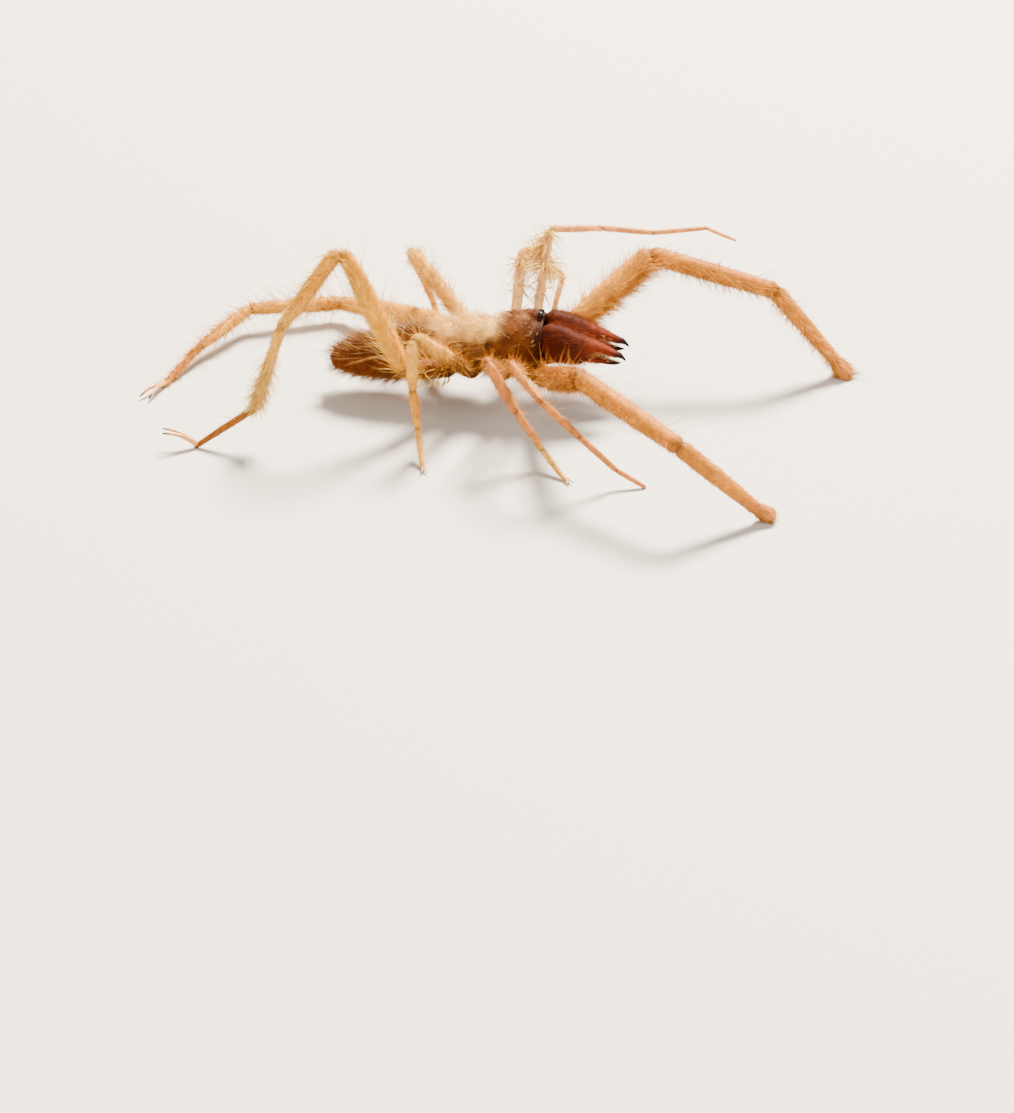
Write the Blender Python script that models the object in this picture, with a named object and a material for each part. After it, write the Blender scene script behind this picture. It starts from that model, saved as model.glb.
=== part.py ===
"""Camel spider (a long-legged solifuge), life size, standing at rest on a level floor.

The animal faces +X, its left side is towards +Y, and the floor is z = 0. All sizes below
are in millimetres, out to the tips of the short coat of bristles. Body parts are closed
solids with a thin cut between neighbours, each in its own object, and every object hangs
from one empty that sets the middle of the animal's box over the world's origin.
"""

from math import ceil, cos, pi, radians, sin, sqrt, tan

import bmesh
import bpy
from mathutils import Matrix, Quaternion, Vector

MM = 0.001
CUT = 0.3               # clear gap between two neighbouring parts

# ---- trunk ---------------------------------------------------------------------------
# Stations along the trunk: x, half width, top, underside.
PROSOMA_STATIONS = (
    (-12.6, 4.1, 16.3, 8.6),
    (-10.5, 5.0, 17.2, 7.9),
    (-6.0, 5.7, 17.9, 7.4),
    (-1.6, 6.1, 18.5, 7.2),
    (2.0, 6.7, 19.5, 7.2),
    (6.0, 6.9, 20.1, 7.6),
    (9.4, 6.1, 19.6, 8.6),
)
ABDOMEN_STATIONS = (
    (-35.9, 1.4, 8.9, 6.5),
    (-34.5, 2.9, 10.1, 5.3),
    (-30.0, 4.4, 12.1, 4.3),
    (-24.0, 5.2, 14.0, 3.8),
    (-18.5, 5.3, 15.5, 4.3),
    (-14.5, 4.7, 16.1, 6.2),
    (-12.9, 3.9, 15.9, 8.2),
)
PROSOMA_RINGS = 11
TRUNK_SIDES = 16
TRUNK_FULLNESS = 0.88       # power of the section's curve, 1 is a plain ellipse
ABDOMEN_SEGMENTS = 10
SEGMENT_GROOVE = 0.3        # depth of the fold between two abdomen segments
HEAD_REAR_X = -1.4          # rear edge of the head shield
HEAD_RIM_Z = 12.6           # lower rim of the head shield

EYE_RADIUS = 0.62
EYE_AT = (8.45, 0.86, 20.5)             # left eye
EYE_SOCKET_GAP = 0.2
EYE_TUBERCLE_AT = (7.9, 0.0, 20.0)
EYE_TUBERCLE_SIZE = (1.6, 1.75, 1.0)    # half axes

# ---- chelicerae ----------------------------------------------------------------------
CHELICERA_Y = 3.22
CHELICERA_SIDES = 12
PALM_FULLNESS = 0.9
# Stations of the palm and its fixed upper finger: x, half width, top, underside.
PALM_STATIONS = (
    (9.7, 2.6, 19.3, 12.1),
    (11.3, 2.95, 19.6, 11.5),
    (14.3, 3.05, 18.8, 11.4),
    (17.2, 2.8, 17.7, 11.5),
    (17.8, 2.6, 17.5, 11.9),
    (18.1, 2.3, 17.35, 14.4),
    (19.4, 1.9, 16.8, 14.35),
)
# Stations of a finger from its root to its tip: x, middle height, half width, half height.
FIXED_FINGER = (
    (20.0, 15.35, 1.75, 1.2),
    (22.0, 14.75, 1.35, 1.0),
    (24.0, 13.95, 1.0, 0.8),
    (25.3, 13.6, 0.72, 0.6),
)
FIXED_TIP = (26.3, 12.45, 0.3)          # x, height, radius of the hooked tip
MOVING_FINGER = (
    (18.5, 12.75, 1.45, 1.0),
    (21.0, 12.5, 1.25, 0.8),
    (23.0, 12.1, 0.95, 0.6),
    (24.2, 11.95, 0.7, 0.45),
)
MOVING_TIP = (25.3, 12.0, 0.27)
FINGER_RINGS = 9
TOOTH_HEIGHT = 0.2
TOOTH_EDGE = 0.9            # points past this share of the half height carry the teeth

# ---- limbs ---------------------------------------------------------------------------
# Hips of the left side. The right side mirrors them.
HIPS = {
    "palp": (9.4, 7.7, 10.0),
    "leg1": (5.8, 7.7, 10.0),
    "leg2": (1.6, 7.5, 10.0),
    "leg3": (-5.2, 7.3, 10.0),
    "leg4": (-10.8, 6.8, 9.8),
}
COXA_ROOT_Y = 1.6           # a coxa starts this far from the middle line
COXA_ROOT_Z = 9.2
COXA_SWEEP = 0.82           # its root lies this share of the hip's x from the middle
COXA_RADIUS = {"palp": 2.15, "leg1": 1.7, "leg2": 1.75, "leg3": 1.9, "leg4": 2.2}

# Segments of each limb: name, length, radius at the base, radius at the end, swelling.
SEGMENTS = {
    "palp": (
        ("femur", 27.5, 1.85, 2.15, 0.3),
        ("patella", 27.0, 1.95, 1.75, 0.12),
        ("tibia", 21.0, 1.75, 1.35, 0.12),
        ("tarsus", 4.6, 1.4, 1.7, 0.18),
    ),
    "leg1": (
        ("femur", 24.0, 1.1, 1.0, 0.1),
        ("patella", 12.0, 0.95, 0.86, 0.06),
        ("tibia", 11.0, 0.84, 0.76, 0.05),
        ("basitarsus", 11.0, 0.74, 0.66, 0.05),
        ("tarsus", 7.0, 0.64, 0.5, 0.05),
    ),
    "leg2": (
        ("femur", 20.5, 1.25, 1.15, 0.1),
        ("patella", 12.0, 1.15, 0.95, 0.1),
        ("tibia", 9.5, 0.84, 0.72, 0.05),
        ("tarsus", 8.5, 0.7, 0.54, 0.05),
    ),
    "leg3": (
        ("femur", 24.5, 1.5, 1.35, 0.15),
        ("patella", 12.0, 1.15, 0.92, 0.1),
        ("tibia", 8.5, 0.9, 0.75, 0.06),
        ("tarsus", 9.0, 0.75, 0.58, 0.06),
    ),
    "leg4": (
        ("basifemur", 11.5, 1.95, 1.9, 0.15),
        ("femur", 28.5, 1.9, 1.6, 0.35),
        ("patella", 20.5, 1.55, 1.2, 0.15),
        ("tibia", 17.0, 1.15, 0.9, 0.08),
        ("tarsus", 15.0, 0.85, 0.6, 0.06),
    ),
}
# Pose: each segment's heading, in degrees outwards from straight ahead, and its pitch above
# the level. The last segment's pitch is None where the foot comes down to the floor.
POSE = {
    "palp_R": ((65, 25), (39, -9), (-15, -43), (-25, None)),
    "palp_L": ((26, 38), (3, -15.4), (8, -50), (8, None)),
    "leg1_R": ((89, 32), (52, -14), (-20, -48), (-16, -47), (2, None)),
    "leg1_L": ((83, 54), (31, -9), (-2, -1), (2, 8), (2, -22)),
    "leg2_R": ((93, 34), (9, -59), (12, -54), (47, None)),
    "leg2_L": ((89, 48), (25, -42), (165, -76), (150, None)),
    "leg3_R": ((118, 40), (81, -88), (21, -83), (73, None)),
    "leg3_L": ((149, 39), (77, -54), (67, -63), (70, None)),
    "leg4_R": ((129, 20), (179, 66), (158, -52), (127, -63), (168, None)),
    "leg4_L": ((118, -4), (146, -10), (203, 3), (244, -7), (251, None)),
}
SIDE = {"L": 1, "R": -1}
FOOT_HEIGHT = 0.82          # height of a foot's middle, as a share of its radius
BEND_RADIUS = 1.2           # centre-line radius of a joint's bend, in limb radii,
BEND_EXTRA = 0.25           # with this much more
BEND_STEP = 22              # degrees between the rings of a bend
SLIGHT_BEND = 1e-4          # half angle, in radians, below which a joint is straight
CUT_MARGIN = 0.15           # least distance from a cut to the next ring of a bend
STRAIGHT_RINGS = 3          # rings along the straight run of a segment
SLIM_RINGS = 1              # and of one that swells less than this
SLIM_SWELLING = 0.1
LIMB_SIDES = {"palp": 10, "leg1": 8, "leg2": 8, "leg3": 8, "leg4": 9}
NOSE_STEPS = (0.5, 0.85, 1.0)   # quarter-turn shares of the rings that round off a free end
NOSE_TIP = 0.25             # radius of the last of them, as a share of the limb's

CLAW_LENGTH = {"leg2": 2.4, "leg3": 2.6, "leg4": 7.4}
CLAW_RISE = {"leg4_R": 25}  # degrees that a claw's line lifts, where it isn't level
CLAW_RADIUS = {"leg2": 0.29, "leg3": 0.29, "leg4": 0.48}
CLAW_FOOT_HEIGHT = 1.6      # lowest height of a claw's root, in claw radii
# Degrees between a claw and the foot's own line.
CLAW_SPLAY = {"leg2": 11, "leg3": 11, "leg4": 9}
CLAW_ARCH = 0.1             # height of its arch, as a share of its length
CLAW_RINGS = 5
CLAW_SIDES = 6

# ---- colours: linear red, green, blue, then roughness --------------------------------
FINISHES = {
    "leg": ((0.60, 0.36, 0.13), 0.42),
    "palp": ((0.58, 0.27, 0.075), 0.42),
    "head": ((0.17, 0.085, 0.028), 0.4),
    "thorax": ((0.30, 0.17, 0.065), 0.5),
    "abdomen": ((0.15, 0.072, 0.027), 0.6),
    "chelicera": ((0.15, 0.028, 0.010), 0.3),
    "finger": ((0.045, 0.010, 0.005), 0.25),
    "eye": ((0.006, 0.005, 0.005), 0.06),
}


# ---- general helpers -----------------------------------------------------------------
def clear_scene():
    """Remove every object of the scene."""
    for old in list(bpy.data.objects):
        bpy.data.objects.remove(old, do_unlink=True)


def finish_material(name):
    """Return the material of one finish, made at its first use."""
    if name in bpy.data.materials:
        return bpy.data.materials[name]
    colour, roughness = FINISHES[name]
    material = bpy.data.materials.new(name)
    material.use_nodes = True
    shader = material.node_tree.nodes["Principled BSDF"]
    shader.inputs["Base Color"].default_value = (*colour, 1.0)
    shader.inputs["Roughness"].default_value = roughness
    shader.inputs["Metallic"].default_value = 0.0
    return material


def skin_rings(bm, rings):
    """Join a row of rings into one closed skin with flat end faces."""
    loops = [[bm.verts.new(point) for point in ring] for ring in rings]
    for near, far in zip(loops, loops[1:]):
        for i in range(len(near)):
            j = (i + 1) % len(near)
            bm.faces.new((near[i], near[j], far[j], far[i]))
    bm.faces.new(loops[0][::-1])
    bm.faces.new(loops[-1])


def solid(name, shells, finish, at=(0.0, 0.0, 0.0), parent=None, floor=False):
    """Make an object of one or more ring stacks, in mm, with its origin at a point.

    With floor set, what reaches below z = 0 is cut off to a flat.
    """
    bm = bmesh.new()
    for rings in shells:
        skin_rings(bm, rings)
    if floor:
        trim_to_floor(bm)
    bmesh.ops.recalc_face_normals(bm, faces=bm.faces)
    if bm.calc_volume(signed=True) < 0:
        bmesh.ops.reverse_faces(bm, faces=bm.faces)
    at = Vector(at)
    bm.transform(Matrix.Scale(MM, 4) @ Matrix.Translation(-at))
    mesh = bpy.data.meshes.new(name)
    bm.to_mesh(mesh)
    bm.free()
    mesh.shade_smooth()
    mesh.set_sharp_from_angle(angle=radians(40))
    mesh.materials.append(finish_material(finish))
    made = bpy.data.objects.new(name, mesh)
    bpy.context.scene.collection.objects.link(made)
    made.location = at * MM
    made.parent = parent
    return made


def trim_to_floor(bm):
    """Cut off what lies below z = 0 and close the cut with one flat face."""
    everything = bm.verts[:] + bm.edges[:] + bm.faces[:]
    bmesh.ops.bisect_plane(
        bm, geom=everything, plane_co=(0, 0, 0), plane_no=(0, 0, -1), clear_outer=True
    )
    rim = [edge for edge in bm.edges if edge.is_boundary]
    bmesh.ops.holes_fill(bm, edges=rim, sides=0)


def combine(target, tool, operation):
    """Apply a boolean of one object to another, and remove the tool."""
    cut = target.modifiers.new(operation, "BOOLEAN")
    cut.operation = operation
    cut.solver = "EXACT"
    cut.object = tool
    bpy.context.view_layer.update()
    evaluated = target.evaluated_get(bpy.context.evaluated_depsgraph_get())
    mesh = bpy.data.meshes.new_from_object(evaluated)
    mesh.name = target.name
    target.modifiers.clear()
    target.data = mesh
    bpy.data.objects.remove(tool, do_unlink=True)


def box_shell(low, high):
    """Return the ring stack of a plain box."""
    corners = ((low[1], low[2]), (high[1], low[2]), (high[1], high[2]), (low[1], high[2]))
    return [[Vector((x, y, z)) for y, z in corners] for x in (low[0], high[0])]


# ---- sections and outlines -----------------------------------------------------------
def section(x, y, half_width, top, bottom, sides, fullness=1.0):
    """Return an upright oval ring across the trunk at x."""
    middle = (top + bottom) / 2
    half_height = (top - bottom) / 2
    ring = []
    for i in range(sides):
        turn = 2 * pi * (i + 0.5) / sides
        across = abs(cos(turn)) ** fullness * (1 if cos(turn) > 0 else -1)
        upward = abs(sin(turn)) ** fullness * (1 if sin(turn) > 0 else -1)
        ring.append(Vector((x, y + half_width * across, middle + half_height * upward)))
    return ring


def along(stations, x):
    """Return the smooth values between the stations of an outline at x."""
    last = len(stations) - 1
    i = max(0, min(last - 1, sum(1 for s in stations if s[0] <= x) - 1))
    share = (x - stations[i][0]) / (stations[i + 1][0] - stations[i][0])
    before, here = stations[max(0, i - 1)], stations[i]
    there, after = stations[i + 1], stations[min(last, i + 2)]
    values = []
    for k in range(1, len(here)):
        leave = (there[k] - before[k]) / 2
        arrive = (after[k] - here[k]) / 2
        rise = there[k] - here[k]
        curve = (leave + arrive - 2 * rise) * share + 3 * rise - 2 * leave - arrive
        values.append(here[k] + share * (leave + share * curve))
    return values


def spread(start, end, count):
    """Return evenly spaced values from start to end."""
    return [start + (end - start) * i / (count - 1) for i in range(count)]


# ---- trunk ---------------------------------------------------------------------------
def trunk_ring(stations, x, shrink=0.0):
    """Return the trunk's section at x, drawn in by a groove's depth."""
    half_width, top, bottom = along(stations, x)
    return section(
        x, 0, half_width - shrink, top - shrink, bottom + shrink, TRUNK_SIDES, TRUNK_FULLNESS
    )


def build_abdomen(root):
    """Make the abdomen with a shallow fold between its segments."""
    rear, front = ABDOMEN_STATIONS[0][0], ABDOMEN_STATIONS[-1][0]
    steps = 2 * ABDOMEN_SEGMENTS
    rings = []
    for i in range(steps + 1):
        fold = i % 2 == 0 and 0 < i < steps
        x = rear + (front - rear) * i / steps
        rings.append(trunk_ring(ABDOMEN_STATIONS, x, SEGMENT_GROOVE if fold else 0.0))
    solid("abdomen", [rings], "abdomen", (front, 0, 12.0), root)


def coxa_shell(limb, side):
    """Return the ring stack of the coxa that carries a limb, up to the cut at its hip."""
    return limb_path(limb, side).tube(0)


def build_prosoma(root):
    """Make the head shield, and the thorax that carries the coxae."""
    rear, front = PROSOMA_STATIONS[0][0], PROSOMA_STATIONS[-1][0]
    rings = [trunk_ring(PROSOMA_STATIONS, x) for x in spread(rear, front, PROSOMA_RINGS)]
    thorax = solid("thorax", [rings], "thorax", (HEAD_REAR_X, 0, 12.0), root)
    head = solid("head_shield", [rings], "head", (HEAD_REAR_X, 0, 12.0), root)
    beyond = 30.0
    low = (HEAD_REAR_X - CUT / 2, -beyond, HEAD_RIM_Z - CUT / 2)
    combine(thorax, solid("shield_space", [box_shell(low, (beyond,) * 3)], "head", parent=root),
            "DIFFERENCE")
    low = (HEAD_REAR_X + CUT / 2, -beyond, HEAD_RIM_Z + CUT / 2)
    combine(head, solid("shield_room", [box_shell(low, (beyond,) * 3)], "head", parent=root),
            "INTERSECT")
    for limb in HIPS:
        for side in SIDE:
            tool = solid("coxa_tool", [coxa_shell(limb, side)], "thorax", parent=root)
            combine(thorax, tool, "UNION")
    tubercle = solid("tubercle_tool", [ball(EYE_TUBERCLE_AT, EYE_TUBERCLE_SIZE)], "head",
                     parent=root)
    combine(head, tubercle, "UNION")
    for side in SIDE:
        place = (EYE_AT[0], SIDE[side] * EYE_AT[1], EYE_AT[2])
        socket = (EYE_RADIUS + EYE_SOCKET_GAP,) * 3
        combine(head, solid("socket_tool", [ball(place, socket)], "head", parent=root),
                "DIFFERENCE")
        solid(f"eye_{side}", [ball(place, (EYE_RADIUS,) * 3)], "eye", place, root)


def ball(centre, half_axes, sides=10, rings=7):
    """Return the ring stack of an ellipsoid, along x."""
    stack = []
    for i in range(rings):
        turn = pi * (i + 0.5) / rings
        reach = Vector((-cos(turn), sin(turn), sin(turn)))
        ring = []
        for k in range(sides):
            spin = 2 * pi * k / sides
            ring.append(Vector((
                centre[0] + half_axes[0] * reach.x,
                centre[1] + half_axes[1] * reach.y * cos(spin),
                centre[2] + half_axes[2] * reach.z * sin(spin),
            )))
        stack.append(ring)
    return stack


# ---- chelicerae ----------------------------------------------------------------------
def finger_rings(stations, tip, y, teeth_up):
    """Return the rings of a finger with a row of teeth on its biting edge."""
    path = [(x, middle, wide, high) for x, middle, wide, high in stations]
    path.append((tip[0], tip[1], tip[2], tip[2]))
    rings = []
    for i, x in enumerate(spread(path[0][0], path[-1][0], FINGER_RINGS)):
        middle, wide, high = along(path, x)
        toothed = i % 2 == 1 and i < FINGER_RINGS - 1
        tooth = TOOTH_HEIGHT if toothed else 0.0
        ring = section(x, y, wide, middle + high, middle - high, CHELICERA_SIDES)
        for point in ring:
            share = (point.z - middle) / high * (1 if teeth_up else -1)
            if share > TOOTH_EDGE:
                point.z += tooth if teeth_up else -tooth
        rings.append(ring)
    return rings


def build_chelicerae(root):
    """Make the two pincers: each a palm with its fixed finger, and a moving finger."""
    for side, sign in SIDE.items():
        y = sign * CHELICERA_Y
        palm = []
        for x, half_width, top, bottom in PALM_STATIONS:
            palm.append(section(x, y, half_width, top, bottom, CHELICERA_SIDES, PALM_FULLNESS))
        fixed = finger_rings(FIXED_FINGER, FIXED_TIP, y, teeth_up=False)
        root_at = (PALM_STATIONS[0][0], y, 15.5)
        solid(f"chelicera_{side}", [palm + fixed], "chelicera", root_at, root)
        moving = finger_rings(MOVING_FINGER, MOVING_TIP, y, teeth_up=True)
        pivot = (MOVING_FINGER[0][0], y, MOVING_FINGER[0][1])
        solid(f"cheliceral_finger_{side}", [moving], "finger", pivot, root)


# ---- limbs ---------------------------------------------------------------------------
def swelling(base, end, bulge, share):
    """Return a segment's radius at a share of its length."""
    return base + (end - base) * share + bulge * sin(pi * share)


class LimbPath:
    """The centre line of a limb: straight segments joined by round bends.

    Each bend turns evenly from one segment's direction to the next one's, and is cut
    across at its middle, where one body part ends and the next begins.
    """

    def __init__(self, corners, radii, sides):
        self.corners = corners
        self.radii = radii          # one (base, end, bulge) for each segment
        self.sides = sides
        self.dirs = [(b - a).normalized() for a, b in zip(corners, corners[1:])]
        upward = Vector((0, 0, 1))
        self.side = self.dirs[0].cross(upward).normalized()
        self.spins = [Quaternion()]
        for near, far in zip(self.dirs, self.dirs[1:]):
            self.spins.append(near.rotation_difference(far) @ self.spins[-1])

    def bend(self, joint):
        """Return the half angle and the centre-line radius of the bend at a joint."""
        half = self.dirs[joint - 1].angle(self.dirs[joint]) / 2
        thick = max(self.radii[joint - 1][1], self.radii[joint][0])
        return half, BEND_RADIUS * thick + BEND_EXTRA

    def setback(self, joint):
        """Return how far from the corner a bend begins."""
        half, radius = self.bend(joint)
        return radius * tan(half)

    def on_bend(self, joint, share):
        """Return the point and the turn of the section at a share of a bend."""
        half, radius = self.bend(joint)
        leave, arrive = self.dirs[joint - 1], self.dirs[joint]
        corner = self.corners[joint]
        if half < SLIGHT_BEND:
            return corner.copy(), self.spins[joint]
        turn = leave.rotation_difference(arrive)
        axis, angle = turn.to_axis_angle()
        here = Quaternion(axis, angle * share)
        start = corner - leave * self.setback(joint)
        inward = axis.cross(leave)
        centre = start + inward * radius
        return centre - here @ (inward * radius), here @ self.spins[joint - 1]

    def ring(self, centre, spin, radius):
        """Return a round ring across the limb."""
        across = spin @ self.side
        upward = spin @ self.side.cross(self.dirs[0])
        ring = []
        for i in range(self.sides):
            turn = 2 * pi * (i + 0.5) / self.sides
            ring.append(centre + radius * (cos(turn) * across + sin(turn) * upward))
        return ring

    def cut_ring(self, joint, way, radius):
        """Return the ring at the cut through a joint, on its near or far side."""
        point, spin = self.on_bend(joint, 0.5)
        ahead = spin @ self.dirs[0]
        return self.ring(point + ahead * (way * CUT / 2), spin, radius)

    def clear_of_cut(self, joint, radius, half_turn):
        """Return how far the inner edge of a bend's ring lies beyond the cut's margin."""
        _, bend_radius = self.bend(joint)
        return (bend_radius - radius) * sin(half_turn) - CUT / 2 - CUT_MARGIN

    def bend_rings(self, joint, way, radius):
        """Return the rings on one side of a joint, from its cut outwards.

        Rings whose inner edge would come too near the cut are left out.
        """
        rings = [self.cut_ring(joint, way, radius)]
        half, _ = self.bend(joint)
        steps = max(1, ceil(half * 180 / pi / BEND_STEP))
        for i in range(1, steps + 1):
            if self.clear_of_cut(joint, radius, half * i / steps) >= 0:
                point, turn = self.on_bend(joint, 0.5 + way * 0.5 * i / steps)
                rings.append(self.ring(point, turn, radius))
        return rings

    def run_in(self, joint, radius):
        """Return how far from its corner a segment's straight run may begin."""
        half, _ = self.bend(joint)
        missing = max(0.0, -self.clear_of_cut(joint, radius, half))
        return self.setback(joint) + missing / cos(half)

    def tube(self, index, free_end=False):
        """Return the ring stack of one segment, from cut to cut."""
        base, end, bulge = self.radii[index]
        start, stop = self.corners[index], self.corners[index + 1]
        direction, spin = self.dirs[index], self.spins[index]
        length = (stop - start).length
        rings = []
        first, last = 0.0, length
        if index > 0:
            rings = self.bend_rings(index, 1, base)
            first = self.run_in(index, base)
        if not free_end:
            last = length - self.run_in(index + 1, end)
        rounding = end if free_end else 0.0
        count = STRAIGHT_RINGS if bulge > SLIM_SWELLING else SLIM_RINGS
        inner = spread(first, last - rounding, count + 2)
        if len(rings) > 1 and first <= self.setback(index):
            inner = inner[1:]
        for reach in inner:
            share = (reach - first) / (last - first)
            radius = swelling(base, end, bulge, share)
            rings.append(self.ring(start + direction * reach, spin, radius))
        if free_end:
            for quarter in NOSE_STEPS:
                reach = last - rounding + rounding * sin(quarter * pi / 2)
                radius = max(end * cos(quarter * pi / 2), end * NOSE_TIP)
                rings.append(self.ring(start + direction * reach, spin, radius))
            return rings
        far = self.bend_rings(index + 1, -1, end)
        if len(far) > 1 and last >= length - self.setback(index + 1):
            far.pop()
        return rings + far[::-1]


def heading_vector(heading, pitch, sign):
    """Return the direction of a segment from its heading and pitch in degrees."""
    level = cos(radians(pitch))
    return Vector((
        cos(radians(heading)) * level,
        sign * sin(radians(heading)) * level,
        sin(radians(pitch)),
    ))


def drop_to_floor(joint, heading, length, radius, sign):
    """Return the end of the last segment, with its round tip pressed on the floor."""
    fall = radius * FOOT_HEIGHT - joint.z
    run = length - radius
    reach = sqrt(max(0.0, run * run - fall * fall))
    way = heading_vector(heading, 0, sign) * reach + Vector((0, 0, fall))
    return joint + way * (length / run)


def limb_path(limb, side):
    """Return the path of one limb, from its coxa's root to its tip."""
    sign = SIDE[side]
    hip = Vector(HIPS[limb])
    root = Vector((hip.x * COXA_SWEEP, COXA_ROOT_Y, COXA_ROOT_Z))
    corners = [Vector((p.x, sign * p.y, p.z)) for p in (root, hip)]
    coxa = COXA_RADIUS[limb]
    radii = [(coxa, coxa, 0.0)]
    for (_, length, base, end, bulge), turn in zip(SEGMENTS[limb], POSE[f"{limb}_{side}"]):
        heading, pitch = turn
        if pitch is None:
            corner = drop_to_floor(corners[-1], heading, length, end, sign)
        else:
            corner = corners[-1] + heading_vector(heading, pitch, sign) * length
        corners.append(corner)
        radii.append((base, end, bulge))
    return LimbPath(corners, radii, LIMB_SIDES[limb])


def claw_shells(limb, side, path):
    """Return the ring stacks of the pair of claws on a foot."""
    length, radius = CLAW_LENGTH[limb], CLAW_RADIUS[limb]
    ahead = path.dirs[-1].copy()
    ahead.z = 0
    ahead.normalize()
    root = path.corners[-1] - path.dirs[-1] * path.radii[-1][1]
    root.z = max(root.z, radius * CLAW_FOOT_HEIGHT)
    rise = radians(CLAW_RISE.get(f"{limb}_{side}", 0))
    shells = []
    for way in (-1, 1):
        line = Matrix.Rotation(way * radians(CLAW_SPLAY[limb]), 3, "Z") @ ahead
        across = line.cross(Vector((0, 0, 1)))
        rings = []
        for i in range(CLAW_RINGS):
            share = i / (CLAW_RINGS - 1)
            lift = CLAW_ARCH * sin(pi * share) + sin(rise) * share
            centre = root + length * (cos(rise) * share * line + Vector((0, 0, lift)))
            slope = pi * CLAW_ARCH * cos(pi * share) + sin(rise)
            tilt = Matrix.Rotation(slope / (1 + slope * slope) ** 0.5, 3, across)
            upward = tilt @ Vector((0, 0, 1))
            ring = []
            for k in range(CLAW_SIDES):
                turn = 2 * pi * k / CLAW_SIDES
                ring.append(centre + radius * (cos(turn) * across + sin(turn) * upward))
            rings.append(ring)
        shells.append(rings)
    return shells


def build_limb(limb, side, root):
    """Make the segments of one limb, each in its own object."""
    path = limb_path(limb, side)
    rests = POSE[f"{limb}_{side}"][-1][1] is None
    finish = "palp" if limb == "palp" else "leg"
    parts = SEGMENTS[limb]
    for index, (name, *_) in enumerate(parts, start=1):
        last = index == len(parts)
        rings = path.tube(index, free_end=last)
        made = solid(f"{limb}_{side}_{name}", [rings], finish, path.corners[index], root,
                     floor=last and rests)
        if last and limb in CLAW_LENGTH:
            for claw in claw_shells(limb, side, path):
                combine(made, solid("claw_tool", [claw], "leg", parent=root), "UNION")


def centre_on_floor(root):
    """Move the whole animal so that the middle of its box stands over the origin."""
    bpy.context.view_layer.update()
    points = []
    for part in bpy.data.objects:
        if part.type == "MESH":
            points += [part.matrix_world @ vertex.co for vertex in part.data.vertices]
    for axis in (0, 1):
        values = [point[axis] for point in points]
        root.location[axis] = -(min(values) + max(values)) / 2


def main():
    """Build the whole animal."""
    clear_scene()
    root = bpy.data.objects.new("camel_spider", None)
    bpy.context.scene.collection.objects.link(root)
    build_abdomen(root)
    build_prosoma(root)
    build_chelicerae(root)
    for limb in HIPS:
        for side in SIDE:
            build_limb(limb, side, root)
    centre_on_floor(root)


main()
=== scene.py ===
"""Looks of the camel spider: skin, shell, eyes, claws and coat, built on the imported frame.

Lengths are in millimetres in the animal's own axes: +X is ahead, +Y its left, +Z up, and the
floor is z = 0. They become metres in the frame when a mesh is written.
"""

import logging
from dataclasses import dataclass, field, replace
from enum import Enum
from math import ceil, cos, pi, radians, sin, sqrt, tan

import bpy
import numpy as np
from mathutils import Matrix, Quaternion, Vector

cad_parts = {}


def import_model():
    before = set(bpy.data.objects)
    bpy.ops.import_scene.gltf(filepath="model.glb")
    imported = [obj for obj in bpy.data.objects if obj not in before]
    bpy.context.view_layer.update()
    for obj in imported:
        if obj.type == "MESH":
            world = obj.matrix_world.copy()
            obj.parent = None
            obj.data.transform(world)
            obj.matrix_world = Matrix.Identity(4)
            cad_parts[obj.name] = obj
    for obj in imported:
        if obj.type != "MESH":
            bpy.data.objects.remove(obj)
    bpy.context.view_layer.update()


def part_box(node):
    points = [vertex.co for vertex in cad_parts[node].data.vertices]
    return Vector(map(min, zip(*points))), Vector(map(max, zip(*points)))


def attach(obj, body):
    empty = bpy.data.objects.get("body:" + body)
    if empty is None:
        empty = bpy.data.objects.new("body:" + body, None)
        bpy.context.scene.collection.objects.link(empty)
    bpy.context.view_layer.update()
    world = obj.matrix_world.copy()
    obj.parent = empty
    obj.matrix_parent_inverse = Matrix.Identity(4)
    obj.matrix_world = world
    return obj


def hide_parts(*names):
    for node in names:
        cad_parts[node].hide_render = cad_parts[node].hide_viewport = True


LOG = logging.getLogger("camel_spider")
MM = 0.001
Array = np.ndarray
Fields = dict[str, np.ndarray]
Stations = tuple[tuple[float, ...], ...]
Object, Tree = bpy.types.Object, bpy.types.NodeTree
Node, Socket = bpy.types.Node, bpy.types.NodeSocket


class Side(Enum):
    """The two sides of the body, with the sign of y on each."""

    L = 1
    R = -1


# ---- small tools ---------------------------------------------------------------------
def tint(red: int, green: int, blue: int) -> Array:
    """Return the linear values, 0 to 1, of a colour in display values, 0 to 255."""
    shown = np.array((red, green, blue)) / 255
    return np.where(shown <= 0.04045, shown / 12.92, ((shown + 0.055) / 1.055) ** 2.4)


def hump(distance: Array, width: float | Array) -> Array:
    """Return a smooth hump: 1 at distance 0, and about a third at the width."""
    return np.exp(-((distance / width) ** 2))


def ramp(values: Array, start: float, stop: float) -> Array:
    """Return a smooth step, which leaves 0 at start and reaches 1 at stop."""
    share = np.clip((values - start) / (stop - start), 0, 1)
    return share * share * (3 - 2 * share)


def blend(first: "Array | Tone", second: "Array | Tone", share: Array) -> Array:
    """Return a mix of two tones or fields of colours, by the second one's share."""
    share = np.clip(share, 0, 1)[..., None]
    first, second = (c.linear if isinstance(c, Tone) else c for c in (first, second))
    return first * (1 - share) + second * share


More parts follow.
